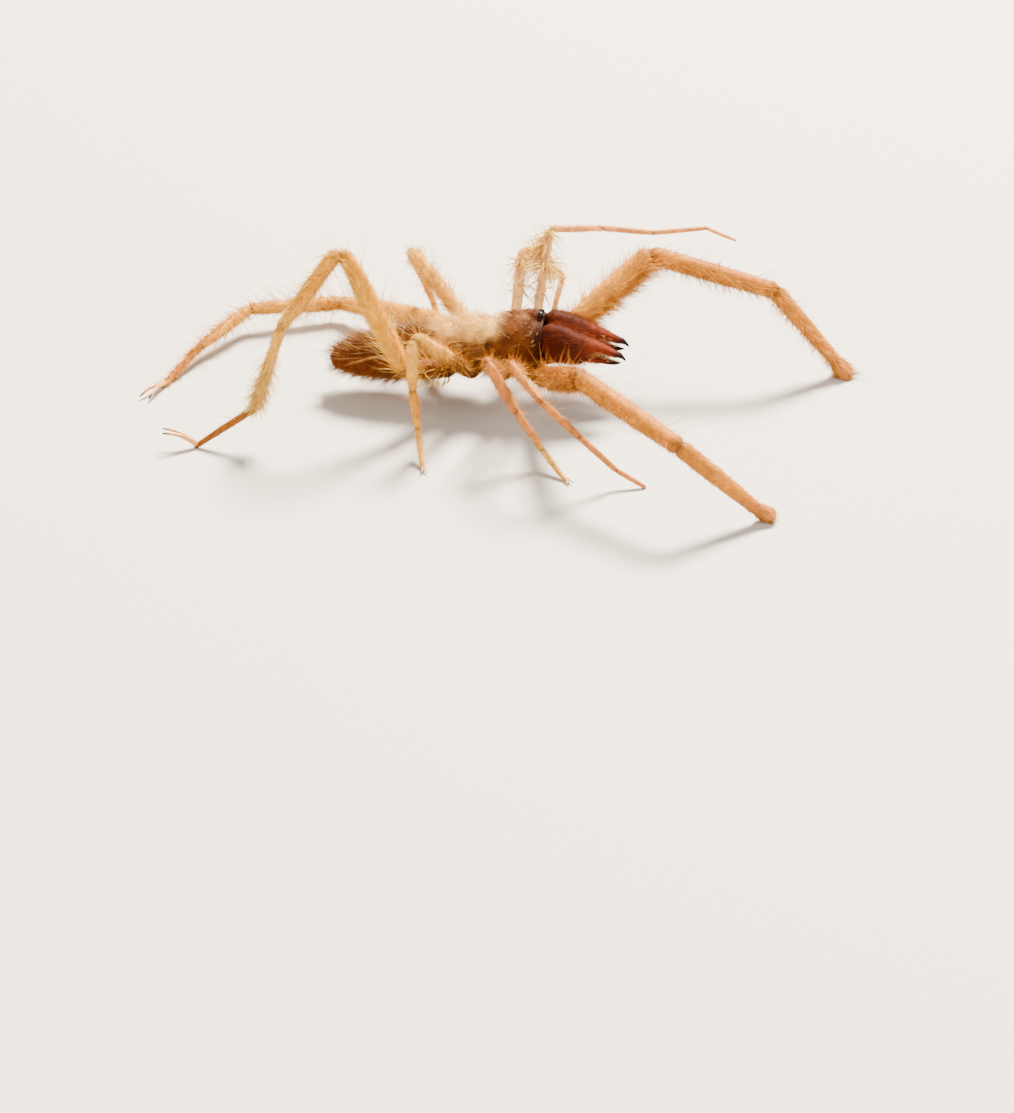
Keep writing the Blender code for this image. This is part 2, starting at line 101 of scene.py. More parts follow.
def clouds(points: Array, size: float, seed: int) -> Array:
    """Return a smooth random field.

    Args:
        points: where it is read, x, y, z last.
        size: about how wide its patches are, in mm.
        seed: which field.

    Returns:
        Values between 0 and 1.
    """
    rng = np.random.default_rng(seed)
    total = np.zeros(points.shape[:-1])
    for k in range(7):
        wave = rng.normal(size=3)
        wave *= pi / (size * (0.6 + 0.15 * k) * np.linalg.norm(wave))
        total += np.sin(points @ wave + rng.uniform(0, 2 * pi))
    return 0.5 + 0.5 * np.tanh(total / 2)


def along(stations: Stations, x: float) -> Array:
    """Return the smooth values between the stations of an outline.

    Args:
        stations: rows that start with x, in rising order.
        x: where to read them.

    Returns:
        The other values of a row, at x.
    """
    last = len(stations) - 1
    i = max(0, min(last - 1, sum(1 for s in stations if s[0] <= x) - 1))
    share = (x - stations[i][0]) / (stations[i + 1][0] - stations[i][0])
    rows = np.array([stations[k][1:] for k in (max(0, i - 1), i, i + 1, min(last, i + 2))])
    leave, arrive = (rows[2] - rows[0]) / 2, (rows[3] - rows[1]) / 2
    rise = rows[2] - rows[1]
    curve = (leave + arrive - 2 * rise) * share + 3 * rise - 2 * leave - arrive
    return rows[1] + share * (leave + share * curve)


def along_all(stations: Stations, xs: Array) -> Array:
    """Return the smooth values between the stations of an outline, a row for each x."""
    return np.array([along(stations, float(x)) for x in xs])


def smoothed(rows: Array, times: int, middle: float = 2) -> Array:
    """Smooth rows in place, all but the ends, and return them.

    Args:
        rows: values along a line.
        times: how many times they are smoothed.
        middle: weight of a row's own value, where each neighbour has 1.

    Returns:
        The same array.
    """
    for _ in range(times):
        rows[1:-1] = (rows[:-2] + middle * rows[1:-1] + rows[2:]) / (2 + middle)
    return rows


def circle(sides: int) -> Array:
    """Return the angles of a ring's vertices."""
    return 2 * pi * np.arange(sides) / sides


def unit(vectors: Array) -> Array:
    """Return vectors scaled to length 1."""
    return vectors / np.maximum(np.linalg.norm(vectors, axis=-1, keepdims=True), 1e-9)


def fill(tree: Tree, node: Node, inputs: dict) -> None:
    """Fill a node's inputs with constants or output sockets, by name or number."""
    for key, value in inputs.items():
        if isinstance(value, Socket):
            tree.links.new(value, node.inputs[key])
        else:
            node.inputs[key].default_value = value


def add_node(
    tree: Tree, kind: str, inputs: dict | None = None, **settings: object
) -> Node:
    """Add a node, set its options and fill its inputs.

    Args:
        tree: where it goes.
        kind: the node's type name.
        inputs: constants or output sockets, by the input's name or number.
        **settings: the node's own options.

    Returns:
        The new node.
    """
    made = tree.nodes.new(kind)
    for key, value in settings.items():
        setattr(made, key, value)
    fill(tree, made, inputs or {})
    return made


def new_object(name: str, data: bpy.types.ID) -> Object:
    """Return a new object of the scene, at the origin."""
    made = bpy.data.objects.new(name, data)
    bpy.context.scene.collection.objects.link(made)
    return made


@dataclass(frozen=True)
class Placement:
    """Where the animal's own axes lie in the frame."""

    shift: tuple[float, float, float]

    EYE_AT = (8.45, 0.86, 20.5)

    @classmethod
    def from_frame(cls) -> "Placement":
        """Return the placement that puts the left eye where the frame has it."""
        low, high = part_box("eye_L")
        middle = (np.array(low) + np.array(high)) / 2 / MM
        return cls(tuple(middle - np.array(cls.EYE_AT)))

    def metres(self, points: Array) -> Array:
        """Return points of the animal's axes in the frame, in metres."""
        return (np.asarray(points) + np.array(self.shift)) * MM


# ---- meshes --------------------------------------------------------------------------
@dataclass
class Draft:
    """Vertices, faces and values of a mesh in the making."""

    points: list[Array] = field(default_factory=list)
    faces: list[list[int]] = field(default_factory=list)
    unwrap: list[tuple[float, float, float]] = field(default_factory=list)
    values: dict[str, list[Array]] = field(default_factory=dict)
    count: int = 0

    def add_rings(self, rings: Array, values: Fields | None = None) -> "Draft":
        """Add a shell made of rings, closed at its ends and turned to face outwards.

        Its unwrap runs along the rings in x and round them in y.

        Args:
            rings: ring, place in the ring, then x, y, z.
            values: the same first two axes, then the value, by attribute name.

        Returns:
            The draft itself.
        """
        rows, sides = rings.shape[:2]
        points = rings.reshape(-1, 3)
        table = {name: v.reshape(rows * sides, -1) for name, v in (values or {}).items()}
        here = np.arange(rows * sides).reshape(rows, sides)
        turned = np.roll(here, -1, axis=1)
        quads = np.stack((here[:-1], turned[:-1], turned[1:], here[1:]), axis=-1)
        faces = quads.reshape(-1, 4).tolist()
        row, side = np.meshgrid(np.arange(rows - 1), np.arange(sides), indexing="ij")
        places = np.stack((
            np.stack((row, row, row + 1, row + 1), axis=-1) / (rows - 1),
            np.stack((side, side + 1, side + 1, side), axis=-1) / sides,
        ), axis=-1).reshape(-1, 4, 2).tolist()
        for ring in (0, rows - 1):
            pole = len(points)
            points = np.vstack((points, rings[ring].mean(0)))
            for name, rows_of in table.items():
                table[name] = np.vstack((rows_of, rows_of[here[ring]].mean(0)))
            reach = ring / (rows - 1)
            for i in range(sides):
                pair = [int(here[ring, i]), int(turned[ring, i])]
                spots = [(reach, i / sides), (reach, (i + 1) / sides)]
                tip = (reach, (i + 0.5) / sides)
                faces.append([pole] + (pair if ring else pair[::-1]))
                places.append([tip] + (spots if ring else spots[::-1]))
        inside_out = sum(
            points[f[0]] @ np.cross(points[f[k]], points[f[k + 1]])
            for f in faces for k in range(1, len(f) - 1)
        ) < 0
        way = -1 if inside_out else 1
        self.faces += [[self.count + v for v in face[::way]] for face in faces]
        self.unwrap += [(u, v, 0.0) for spots in places for u, v in spots[::way]]
        self.points.append(points)
        for name, found in table.items():
            self.values.setdefault(name, []).append(found)
        self.count += len(points)
        return self

    def object(self, name: str, placement: Placement, finish: "Finish") -> Object:
        """Write the mesh and return its object, at the origin of the frame."""
        mesh = bpy.data.meshes.new(name)
        mesh.from_pydata(placement.metres(np.vstack(self.points)).tolist(), [], self.faces)
        kinds = {1: ("FLOAT", "value"), 3: ("FLOAT_VECTOR", "vector")}
        for key, rows in self.values.items():
            table = np.vstack(rows).astype(np.float32)
            kind, slot = kinds[table.shape[1]]
            made = mesh.attributes.new(key, kind, "POINT")
            made.data.foreach_set(slot, table.ravel())
        made = mesh.attributes.new("root_uv", "FLOAT_VECTOR", "CORNER")
        made.data.foreach_set("vector", 0.98 * np.array(self.unwrap, np.float32).ravel())
        mesh.materials.append(finish_of(finish))
        mesh.shade_smooth()
        mesh.update()
        return new_object(name, mesh)


# ---- finishes ------------------------------------------------------------------------
def new_material(name: str) -> tuple[bpy.types.Material, Tree, Node]:
    """Return a new material, its node tree and its shader node."""
    material = bpy.data.materials.new(name)
    material.use_nodes = True
    tree = material.node_tree
    return material, tree, tree.nodes["Principled BSDF"]


def attribute(tree: Tree, name: str, output: str) -> Socket:
    """Return one of a mesh's own values in a material."""
    return add_node(tree, "ShaderNodeAttribute", attribute_name=name).outputs[output]


def remap(
    tree: Tree, value: Socket, low: float, high: float,
    start: float = 0.0, stop: float = 1.0,
) -> Socket:
    """Return a value moved from the range start to stop onto the range low to high."""
    return add_node(tree, "ShaderNodeMapRange", {
        "Value": value, "From Min": start, "From Max": stop, "To Min": low, "To Max": high,
    }).outputs["Result"]


def scaled(
    tree: Tree, colour: Socket, gain: Socket
) -> Socket:
    """Return a colour made lighter or darker by a gain."""
    return add_node(tree, "ShaderNodeVectorMath", {0: colour, "Scale": gain},
                    operation="SCALE").outputs["Vector"]


@dataclass(frozen=True)
class ShellFinish:
    """Hard or leathery outer skin. Its colour comes from the mesh's own marking."""

    name: str
    roughness: float = 0.42
    mottle: float = 0.35            # how much the colour varies
    mottle_size: float = 1.3        # mm
    pore_size: float = 0.16         # mm between the pits that hold bristles
    pore_depth: float = 0.02        # mm
    wrinkle_size: float = 0.45      # mm
    wrinkle_depth: float = 0.03     # mm
    glow: float = 0.12              # light that passes through the skin
    coat: float = 0.0
    sheen: float = 0.3              # how strongly it reflects, 0.5 is plain

    CLOUD_RANGE = (0.3, 0.7)        # the part of a noise texture's range that is used

    def material(self) -> bpy.types.Material:
        """Return the finish as a material."""
        material, tree, shader = new_material(self.name)
        place = add_node(tree, "ShaderNodeTexCoord").outputs["Object"]
        clouds = add_node(tree, "ShaderNodeTexNoise", {
            "Vector": place, "Scale": 1 / (self.mottle_size * MM), "Detail": 5.0,
            "Roughness": 0.6,
        }).outputs["Fac"]
        gain = remap(tree, clouds, 1 - self.mottle, 1 + self.mottle, *self.CLOUD_RANGE)
        pores = add_node(tree, "ShaderNodeTexVoronoi", {
            "Vector": place, "Scale": 1 / (self.pore_size * MM),
        })
        pit = remap(tree, pores.outputs["Distance"], 0.72, 1.0, 0.0, 0.45)
        both = add_node(tree, "ShaderNodeMath", {0: gain, 1: pit}, operation="MULTIPLY")
        folds = add_node(tree, "ShaderNodeTexNoise", {
            "Vector": place, "Scale": 1 / (self.wrinkle_size * MM), "Detail": 4.0,
        })
        fold_bump = add_node(tree, "ShaderNodeBump", {
            "Height": folds.outputs["Fac"], "Distance": self.wrinkle_depth * MM * 3,
            "Strength": 1.0,
        })
        pore_bump = add_node(tree, "ShaderNodeBump", {
            "Height": pit, "Distance": self.pore_depth * MM * 4, "Strength": 0.8,
            "Normal": fold_bump.outputs["Normal"],
        })
        fill(tree, shader, {
            "Base Color": scaled(tree, attribute(tree, "marking", "Color"),
                                 both.outputs["Value"]),
            "Normal": pore_bump.outputs["Normal"],
            "Roughness": remap(tree, clouds, self.roughness - 0.08, self.roughness + 0.12,
                               *self.CLOUD_RANGE),
            "Coat Weight": self.coat, "Coat Roughness": 0.3,
            "Specular IOR Level": self.sheen, "Subsurface Weight": self.glow,
            "Subsurface Radius": (1.0, 0.45, 0.2), "Subsurface Scale": 0.8 * MM,
        })
        return material


@dataclass(frozen=True)
class BristleFinish:
    """Bristles and hairs, coloured like the skin at their root and paler towards the tip."""

    name: str
    tip: tuple[int, int, int] = (244, 214, 158)
    paling: float = 0.75            # how far a tip goes to its own colour
    root_share: float = 0.25        # how far the root already is
    roughness: float = 0.5

    def material(self) -> bpy.types.Material:
        """Return the finish as a material."""
        material, tree, shader = new_material(self.name)
        mixed = add_node(tree, "ShaderNodeMix", {
            0: remap(tree, attribute(tree, "height", "Fac"), self.root_share, self.paling),
            6: attribute(tree, "marking", "Color"), 7: (*tint(*self.tip), 1.0),
        }, data_type="RGBA")
        gain = remap(tree, attribute(tree, "shade", "Fac"), 0.62, 1.25)
        fill(tree, shader, {
            "Base Color": scaled(tree, mixed.outputs[2], gain),
            "Roughness": self.roughness, "Specular IOR Level": 0.1,
        })
        return material


@dataclass(frozen=True)
class EyeFinish:
    """Wet-looking black eye with a faint brown depth."""

    name: str = "eye_gloss"

    def material(self) -> bpy.types.Material:
        """Return the finish as a material."""
        material, tree, shader = new_material(self.name)
        place = add_node(tree, "ShaderNodeTexCoord").outputs["Object"]
        clouds = add_node(tree, "ShaderNodeTexNoise", {
            "Vector": place, "Scale": 1 / (0.5 * MM), "Detail": 2.0,
        })
        colour = add_node(tree, "ShaderNodeValToRGB", {"Fac": clouds.outputs["Fac"]})
        colour.color_ramp.elements[0].color = (0.003, 0.002, 0.002, 1)
        colour.color_ramp.elements[1].color = (0.030, 0.014, 0.008, 1)
        fill(tree, shader, {
            "Base Color": colour.outputs["Color"], "Roughness": 0.06,
            "Specular IOR Level": 0.25,
        })
        return material


@dataclass(frozen=True)
class FloorFinish:
    """Plain pale studio floor."""

    name: str = "studio_floor"
    colour: tuple[float, float, float] = (0.60, 0.58, 0.55)

    def material(self) -> bpy.types.Material:
        """Return the finish as a material."""
        material, tree, shader = new_material(self.name)
        fill(tree, shader, {"Base Color": (*self.colour, 1.0), "Roughness": 0.7})
        return material


Finish = ShellFinish | BristleFinish | EyeFinish | FloorFinish


# ---- coat ----------------------------------------------------------------------------
@dataclass(frozen=True)
class Coat:
    """One kind of bristle, as it grows on a piece of skin."""

    weight: str                 # the skin's attribute that says how densely it grows
    density: float              # bristles on a square millimetre of full weight
    length: float               # mm
    thickness: float            # mm across the root
    finish: BristleFinish
    lean: float = 1.0           # how far it leans with the lie of the coat, 1 is 45 degrees
    scatter: float = 0.35       # how far its direction strays
    bend: float = 0.3           # how far its tip droops along the lie, in lengths
    wave: float = 0.06          # how far it wanders sideways, in lengths
    spread: float = 0.35        # how far its length strays, as a share
    tuft: float = 0.0           # how strongly neighbours lean together
    pieces: int = 2             # lengthwise pieces of one bristle
    seed: int = 1


class BristleTree:
    """The Geometry Nodes tree that grows bristles from a skin."""

    PATCH = 0.003               # width of a bristle's patch on the bake map
    FLOOR = 0.03 * MM           # lowest height of a bristle
    TUFT_SIZE = 0.9 * MM        # about how wide a tuft is
    NOISE_SPREAD = 900.0        # keeps the noise of neighbouring roots apart
    WANDER_SCALE = 1.6          # how often a bristle changes its sideways wander
    SPARE = ("leaf", "lie", "aim", "reach", "grow", "root_uv", "down", "fringe", "silk",
             "spine")
    INPUTS = dict.fromkeys(("Density", "Length", "Radius", "Lean", "Scatter", "Bend", "Wave",
                            "Spread", "Tuft"), "NodeSocketFloat")
    INPUTS |= {"Pieces": "NodeSocketInt", "Seed": "NodeSocketInt",
               "Weight": "NodeSocketString", "Finish": "NodeSocketMaterial"}

    def __init__(self) -> None:
        """Build the tree."""
        self.tree = bpy.data.node_groups.new("grow_bristles", "GeometryNodeTree")
        face = self.tree.interface
        face.new_socket(name="Skin", in_out="INPUT", socket_type="NodeSocketGeometry")
        self.keys = {
            name: face.new_socket(name=name, in_out="INPUT", socket_type=kind).identifier
            for name, kind in self.INPUTS.items()
        }
        face.new_socket(name="Bristles", in_out="OUTPUT", socket_type="NodeSocketGeometry")
        self.given = self.tree.nodes.new("NodeGroupInput").outputs
        points = self.roots()
        shaped = self.shape(self.plant(points))
        finished = self.add("GeometryNodeSetMaterial", {
            "Geometry": shaped, "Material": self.given["Finish"],
        })
        self.add("NodeGroupOutput", {0: finished.outputs[0]})

    def add(self, kind: str, inputs: dict | None = None, **settings: object) -> Node:
        """Add a node to the tree."""
        return add_node(self.tree, kind, inputs, **settings)

    def named(self, name: str | Socket, kind: str) -> Socket:
        """Return the value of a named attribute."""
        return self.add("GeometryNodeInputNamedAttribute", {"Name": name},
                        data_type=kind).outputs["Attribute"]

    def store(
        self, geometry: Socket, name: str, value: Socket,
        kind: str, domain: str,
    ) -> Socket:
        """Store a named attribute and return the geometry that holds it."""
        return self.add("GeometryNodeStoreNamedAttribute", {
            "Geometry": geometry, "Name": name, "Value": value,
        }, data_type=kind, domain=domain).outputs["Geometry"]

    def maths(self, operation: str, *values: object) -> Socket:
        """Return the result of a sum on numbers."""
        return self.add("ShaderNodeMath", dict(enumerate(values)),
                        operation=operation).outputs[0]

    def vectors(self, operation: str, *values: object) -> Socket:
        """Return the result of a sum on vectors."""
        return self.add("ShaderNodeVectorMath", dict(enumerate(values)),
                        operation=operation).outputs[0]

    def scale(self, vector: Socket, factor: object) -> Socket:
        """Return a vector made longer or shorter."""
        return self.add("ShaderNodeVectorMath", {0: vector, "Scale": factor},
                        operation="SCALE").outputs[0]

    def chance(self, low: float, high: float, step: int) -> Socket:
        """Return a random number for each root, from a seed of its own."""
        seed = self.maths("ADD", self.given["Seed"], step)
        made = self.add("FunctionNodeRandomValue", {"Seed": seed}, data_type="FLOAT")
        made.inputs[2].default_value = low
        made.inputs[3].default_value = high
        return made.outputs[1]

    def noise(self, place: Socket, scale: float) -> Socket:
        """Return smooth noise around 0 in x, y and z."""
        made = self.add("ShaderNodeTexNoise", {"Vector": place, "Scale": scale,
                                               "Detail": 0.0})
        return self.vectors("SUBTRACT", made.outputs["Color"], (0.5, 0.5, 0.5))

    def roots(self) -> Socket:
        """Return the roots, with each bristle's direction and length stored on them."""
        density = self.maths("MULTIPLY", self.given["Density"],
                             self.named(self.given["Weight"], "FLOAT"))
        spots = self.add("GeometryNodeDistributePointsOnFaces", {
            "Mesh": self.given["Skin"], "Density": density, "Seed": self.given["Seed"],
        }, distribute_method="RANDOM")
        seed = self.maths("ADD", self.given["Seed"], 11)
        stray = self.add("FunctionNodeRandomValue", {"Seed": seed}, data_type="FLOAT_VECTOR")
        stray.inputs[0].default_value = (-1, -1, -1)
        stray.inputs[1].default_value = (1, 1, 1)
        lie = self.scale(self.named("lie", "FLOAT_VECTOR"), self.given["Lean"])
        upright = self.vectors("ADD", spots.outputs["Normal"], lie)
        strays = self.scale(stray.outputs[0], self.given["Scatter"])
        clumps = self.noise(self.add("GeometryNodeInputPosition").outputs[0],
                            1 / self.TUFT_SIZE)
        pull = self.scale(clumps, self.given["Tuft"])
        swayed = self.vectors("ADD", self.vectors("ADD", upright, strays), pull)
        aim = self.vectors("NORMALIZE", swayed)
        varied = self.maths("MULTIPLY_ADD", self.chance(-1, 1, 23), self.given["Spread"], 1.0)
        grown = self.maths("MULTIPLY", varied, self.named("grow", "FLOAT"))
        reach = self.maths("MULTIPLY", grown, self.given["Length"])
        points = self.store(spots.outputs["Points"], "aim", aim, "FLOAT_VECTOR", "POINT")
        points = self.store(points, "reach", reach, "FLOAT", "POINT")
        return self.store(points, "shade", self.chance(0, 1, 37), "FLOAT", "POINT")

    def plant(self, points: Socket) -> Socket:
        """Return one straight bristle at each root, made real."""
        cone = self.add("GeometryNodeMeshCone", {
            "Vertices": 3, "Side Segments": self.given["Pieces"], "Radius Top": 0.0,
            "Radius Bottom": 1.0, "Depth": 1.0,
        }, fill_type="NONE")
        spot = self.add("GeometryNodeInputPosition").outputs[0]
        height = self.add("ShaderNodeSeparateXYZ", {0: spot}).outputs["Z"]
        bristle = self.store(cone.outputs["Mesh"], "height", height, "FLOAT", "POINT")
        bristle = self.store(bristle, "leaf", cone.outputs["UV Map"], "FLOAT2", "CORNER")
        turn = self.add("FunctionNodeAlignRotationToVector", {
            "Vector": self.named("aim", "FLOAT_VECTOR"),
        }, axis="Z")
        size = self.add("ShaderNodeCombineXYZ", {
            0: self.given["Radius"], 1: self.given["Radius"], 2: self.named("reach", "FLOAT"),
        })
        planted = self.add("GeometryNodeInstanceOnPoints", {
            "Points": points, "Instance": bristle, "Rotation": turn.outputs[0],
            "Scale": size.outputs[0],
        })
        return self.add("GeometryNodeRealizeInstances", {
            "Geometry": planted.outputs["Instances"],
        }).outputs[0]

    def shape(self, bristles: Socket) -> Socket:
        """Return the bristles bent along the lie, with their patch on the bake map."""
        height, reach = self.named("height", "FLOAT"), self.named("reach", "FLOAT")
        lift = self.maths("MULTIPLY", self.maths("POWER", height, 2.0), reach)
        droop = self.scale(self.named("lie", "FLOAT_VECTOR"),
                             self.maths("MULTIPLY", lift, self.given["Bend"]))
        root = self.named("root_uv", "FLOAT_VECTOR")
        own_place = self.vectors(
            "ADD", self.scale(root, self.NOISE_SPREAD),
            self.scale(self.named("aim", "FLOAT_VECTOR"), height))
        wander = self.scale(self.noise(own_place, self.WANDER_SCALE),
                              self.maths("MULTIPLY", lift, self.given["Wave"]))
        moved = self.add("GeometryNodeSetPosition", {
            "Geometry": bristles, "Offset": self.vectors("ADD", droop, wander),
        }).outputs[0]
        spot = self.add("ShaderNodeSeparateXYZ", {
            0: self.add("GeometryNodeInputPosition").outputs[0],
        })
        raised = self.add("ShaderNodeCombineXYZ", {
            "X": spot.outputs["X"], "Y": spot.outputs["Y"],
            "Z": self.maths("MAXIMUM", spot.outputs["Z"], self.FLOOR),
        })
        moved = self.add("GeometryNodeSetPosition", {
            "Geometry": moved, "Position": raised.outputs[0],
        }).outputs[0]
        leaf = self.scale(self.named("leaf", "FLOAT_VECTOR"), self.PATCH)
        patch = self.vectors("ADD", root, leaf)
        return self.store(moved, "OFBake", patch, "FLOAT2", "CORNER")

    def grow(self, name: str, skin: Object, coat: Coat) -> Object:
        """Grow a coat on a skin.

        Args:
            name: the new object's name.
            skin: object whose mesh has the weight, lie, grow, marking and root_uv values.
            coat: the kind of bristle.

        Returns:
            The coat as a plain mesh object.
        """
        made = new_object(name, skin.data.copy())
        modifier = made.modifiers.new("bristles", "NODES")
        modifier.node_group = self.tree
        given = {name: getattr(coat, name.lower(), None) for name in self.INPUTS} | {
            "Density": coat.density / MM**2, "Length": coat.length * MM,
            "Radius": coat.thickness / 2 * MM, "Wave": coat.wave * 2,
            "Finish": finish_of(coat.finish),
        }
        for key, value in given.items():
            modifier[self.keys[key]] = value
        made.update_tag()
        bpy.context.view_layer.update()
        evaluated = made.evaluated_get(bpy.context.evaluated_depsgraph_get())
        mesh = bpy.data.meshes.new_from_object(evaluated)
        mesh.name = name
        made.modifiers.clear()
        old = made.data
        made.data = mesh
        bpy.data.meshes.remove(old)
        for spare in [a.name for a in mesh.attributes if a.name in self.SPARE]:
            mesh.attributes.remove(mesh.attributes[spare])
        mesh.shade_smooth()
        return made


_FINISHES: dict[str, bpy.types.Material] = {}


def finish_of(finish: Finish) -> bpy.types.Material:
    """Return the material of a finish, made at its first use."""
    if finish.name not in _FINISHES:
        _FINISHES[finish.name] = finish.material()
    return _FINISHES[finish.name]


# ---- palette -------------------------------------------------------------------------
class Tone(Enum):
    """Colours of the animal, as display values; the near side's darker brown stands for painted
    shade.
    """

    STRAW = (224, 152, 22)
    PALE_STRAW = (244, 184, 70)
    GOLD = (234, 166, 12)
    ORANGE_TAN = (200, 124, 26)
    PINK_TAN = (202, 124, 56)
    BLUSH = (232, 164, 94)
    JOINT_BROWN = (112, 52, 14)
    GROOVE_BROWN = (84, 38, 12)
    COXA_BROWN = (106, 54, 15)
    # painted shade: the darker brown given to the near side's limbs, which lie in shade
    BASE_BROWN = (148, 82, 20)
    HEAD_OLIVE = (94, 50, 13)
    HEAD_DARK = (72, 30, 8)
    THORAX = (254, 208, 122)
    ABDOMEN = (110, 52, 17)
    ABDOMEN_DARK = (70, 32, 10)
    ABDOMEN_PALE = (156, 96, 44)
    SHELL_RED = (64, 18, 3)
    SHELL_DARK = (50, 15, 3)
    FINGER_RED = (106, 32, 6)
    TOOTH_BLACK = (22, 9, 6)
    CLAW_AMBER = (212, 146, 84)
    CREAM = (255, 212, 144)

    @property
    def linear(self) -> Array:
        """The colour's linear values."""
        return tint(*self.value)


LIMB_SHELL = ShellFinish("limb_shell", roughness=0.55, glow=0.15, sheen=0.14)
TRUNK_SHELL = ShellFinish("trunk_shell", roughness=0.6, mottle=0.45, mottle_size=1.8,
                          pore_size=0.24, wrinkle_depth=0.05, glow=0.05, sheen=0.08)
PINCER_SHELL = ShellFinish("pincer_shell", roughness=0.6, mottle=0.4, mottle_size=1.6,
                           pore_size=0.5, pore_depth=0.035, glow=0.0, sheen=0.08)
HORN_SHELL = ShellFinish("horn_shell", roughness=0.26, mottle=0.25, pore_depth=0.004,
                         wrinkle_depth=0.01, glow=0.0, coat=0.2, sheen=0.5)
SOFT_SHELL = ShellFinish("soft_shell", roughness=0.5, mottle=0.15, glow=0.3)
GOLD_DOWN = BristleFinish("gold_down", tip=(242, 172, 32), paling=0.6)
CREAM_FRINGE = BristleFinish("cream_fringe", tip=(255, 214, 118), paling=1.0,
                             root_share=0.7)
GOLD_FRINGE = BristleFinish("gold_fringe", tip=(236, 164, 64), paling=0.9, root_share=0.4)
SILK = BristleFinish("pale_silk", tip=(255, 220, 136), paling=0.9, root_share=0.5)
BROWN_PILE = BristleFinish("brown_pile", tip=(178, 106, 40), paling=0.4, root_share=0.1)
RED_BRISTLE = BristleFinish("red_bristle", tip=(146, 62, 22), paling=0.75, root_share=0.2)
PALE_BRUSH = BristleFinish("pale_brush", tip=(236, 186, 130), paling=0.95, root_share=0.6)
DARK_SPINE = BristleFinish("dark_spine", tip=(96, 52, 24), paling=0.9, root_share=0.5)


# ---- limbs ---------------------------------------------------------------------------
@dataclass(frozen=True)
class Segment:
    """One straight piece of a limb."""

    name: str
    length: float
    base: float                 # radius at its base
    end: float                  # radius at its end
    swell: float                # how much thicker it is halfway


@dataclass
class CentreLine:
    """The middle line of a limb: straight segments joined by round bends."""

    corners: list[Vector]
    segments: list[Segment]     # the coxa first

    BEND_RADIUS = 1.2           # in limb radii,
    BEND_EXTRA = 0.25           # with this much more

    def __post_init__(self) -> None:
        """Work out the directions and the turn of the section on each segment."""
        self.dirs = [(b - a).normalized() for a, b in zip(self.corners, self.corners[1:])]
        self.across = self.dirs[0].cross(Vector((0, 0, 1))).normalized()
        self.spins = [Quaternion()]
        for near, far in zip(self.dirs, self.dirs[1:]):
            self.spins.append(near.rotation_difference(far) @ self.spins[-1])

    def bend(self, joint: int) -> tuple[float, float]:
        """Return the half angle and the radius of the bend at a joint."""
        half = self.dirs[joint - 1].angle(self.dirs[joint]) / 2
        thick = max(self.segments[joint - 1].end, self.segments[joint].base)
        return half, self.BEND_RADIUS * thick + self.BEND_EXTRA

    def setback(self, joint: int) -> float:
        """Return how far from the corner a bend begins."""
        half, radius = self.bend(joint)
        return radius * tan(half)

    def on_bend(self, joint: int, share: float) -> tuple[Vector, Quaternion]:
        """Return the point and the section's turn at a share of a bend."""
        _, radius = self.bend(joint)
        leave, arrive = self.dirs[joint - 1], self.dirs[joint]
        axis, angle = leave.rotation_difference(arrive).to_axis_angle()
        here = Quaternion(axis, angle * share)
        inward = axis.cross(leave) * radius
        start = self.corners[joint] - leave * self.setback(joint)
        return start + inward - here @ inward, here @ self.spins[joint - 1]

    def walk(self, step: float) -> Fields:
        """Return evenly spaced places along the line.

        Args:
            step: about how far apart they lie.

        Returns:
            Arrays by name: point, ahead, side, up, radius, part (segment number),
            share (along the segment), reach (length so far) and joints (reach of each bend).
        """
        rows: list[tuple[Vector, Quaternion, float, int, float]] = []
        middles: list[int] = []
        last = len(self.dirs) - 1
        for index, piece in enumerate(self.segments):
            start, way = self.corners[index], self.dirs[index]
            first = self.setback(index) if index else 0.0
            stop = (self.corners[index + 1] - start).length
            if index < last:
                stop -= self.setback(index + 1)
            count = max(2, ceil((stop - first) / step))
            for i in range(count + (index == last)):
                share = i / count
                thick = piece.base + (piece.end - piece.base) * share
                thick += piece.swell * sin(pi * share)
                place = start + way * (first + share * (stop - first))
                rows.append((place, self.spins[index], thick, index, share))
            if index == last:
                break
            half, radius = self.bend(index + 1)
            count = 2 * max(2, ceil(half * radius / step))
            middles.append(len(rows) + count // 2)
            for i in range(count):
                place, spin = self.on_bend(index + 1, i / count)
                late = i >= count // 2
                thick = self.segments[index + 1].base if late else piece.end
                rows.append((place, spin, thick, index + late, 0.0 if late else 1.0))
        points = np.array([row[0] for row in rows])
        steps = np.linalg.norm(np.diff(points, axis=0), axis=1)
        reach = np.concatenate(([0.0], np.cumsum(steps)))
        up = self.across.cross(self.dirs[0])
        return {
            "point": points,
            "ahead": np.array([row[1] @ self.dirs[0] for row in rows]),
            "side": np.array([row[1] @ self.across for row in rows]),
            "up": np.array([row[1] @ up for row in rows]),
            "radius": smoothed(np.array([row[2] for row in rows]), 3),
            "part": np.array([row[3] for row in rows]),
            "share": np.array([row[4] for row in rows]),
            "reach": reach,
            "joints": reach[middles],
        }


@dataclass(frozen=True)
class Pelt:
    """How a limb is haired. Each weight list has one value for each segment."""

    fringe: tuple[float, ...]       # how densely fringe hairs stand
    silk: tuple[float, ...]         # how densely long hairs stand
    fringe_length: float = 2.0
    silk_length: float = 5.0
    down_length: float = 1.0
    under: float = 0.0              # 1 where the fringe hangs below, -1 where it stands above
    finish: BristleFinish = CREAM_FRINGE
    curls: bool = False             # whether the fringe grows as loose curled tufts
    depth: float = 0.14             # mm from the skin out to the frame's solid
    brush: int = 0                  # number of the segment whose fringe thickens to its end


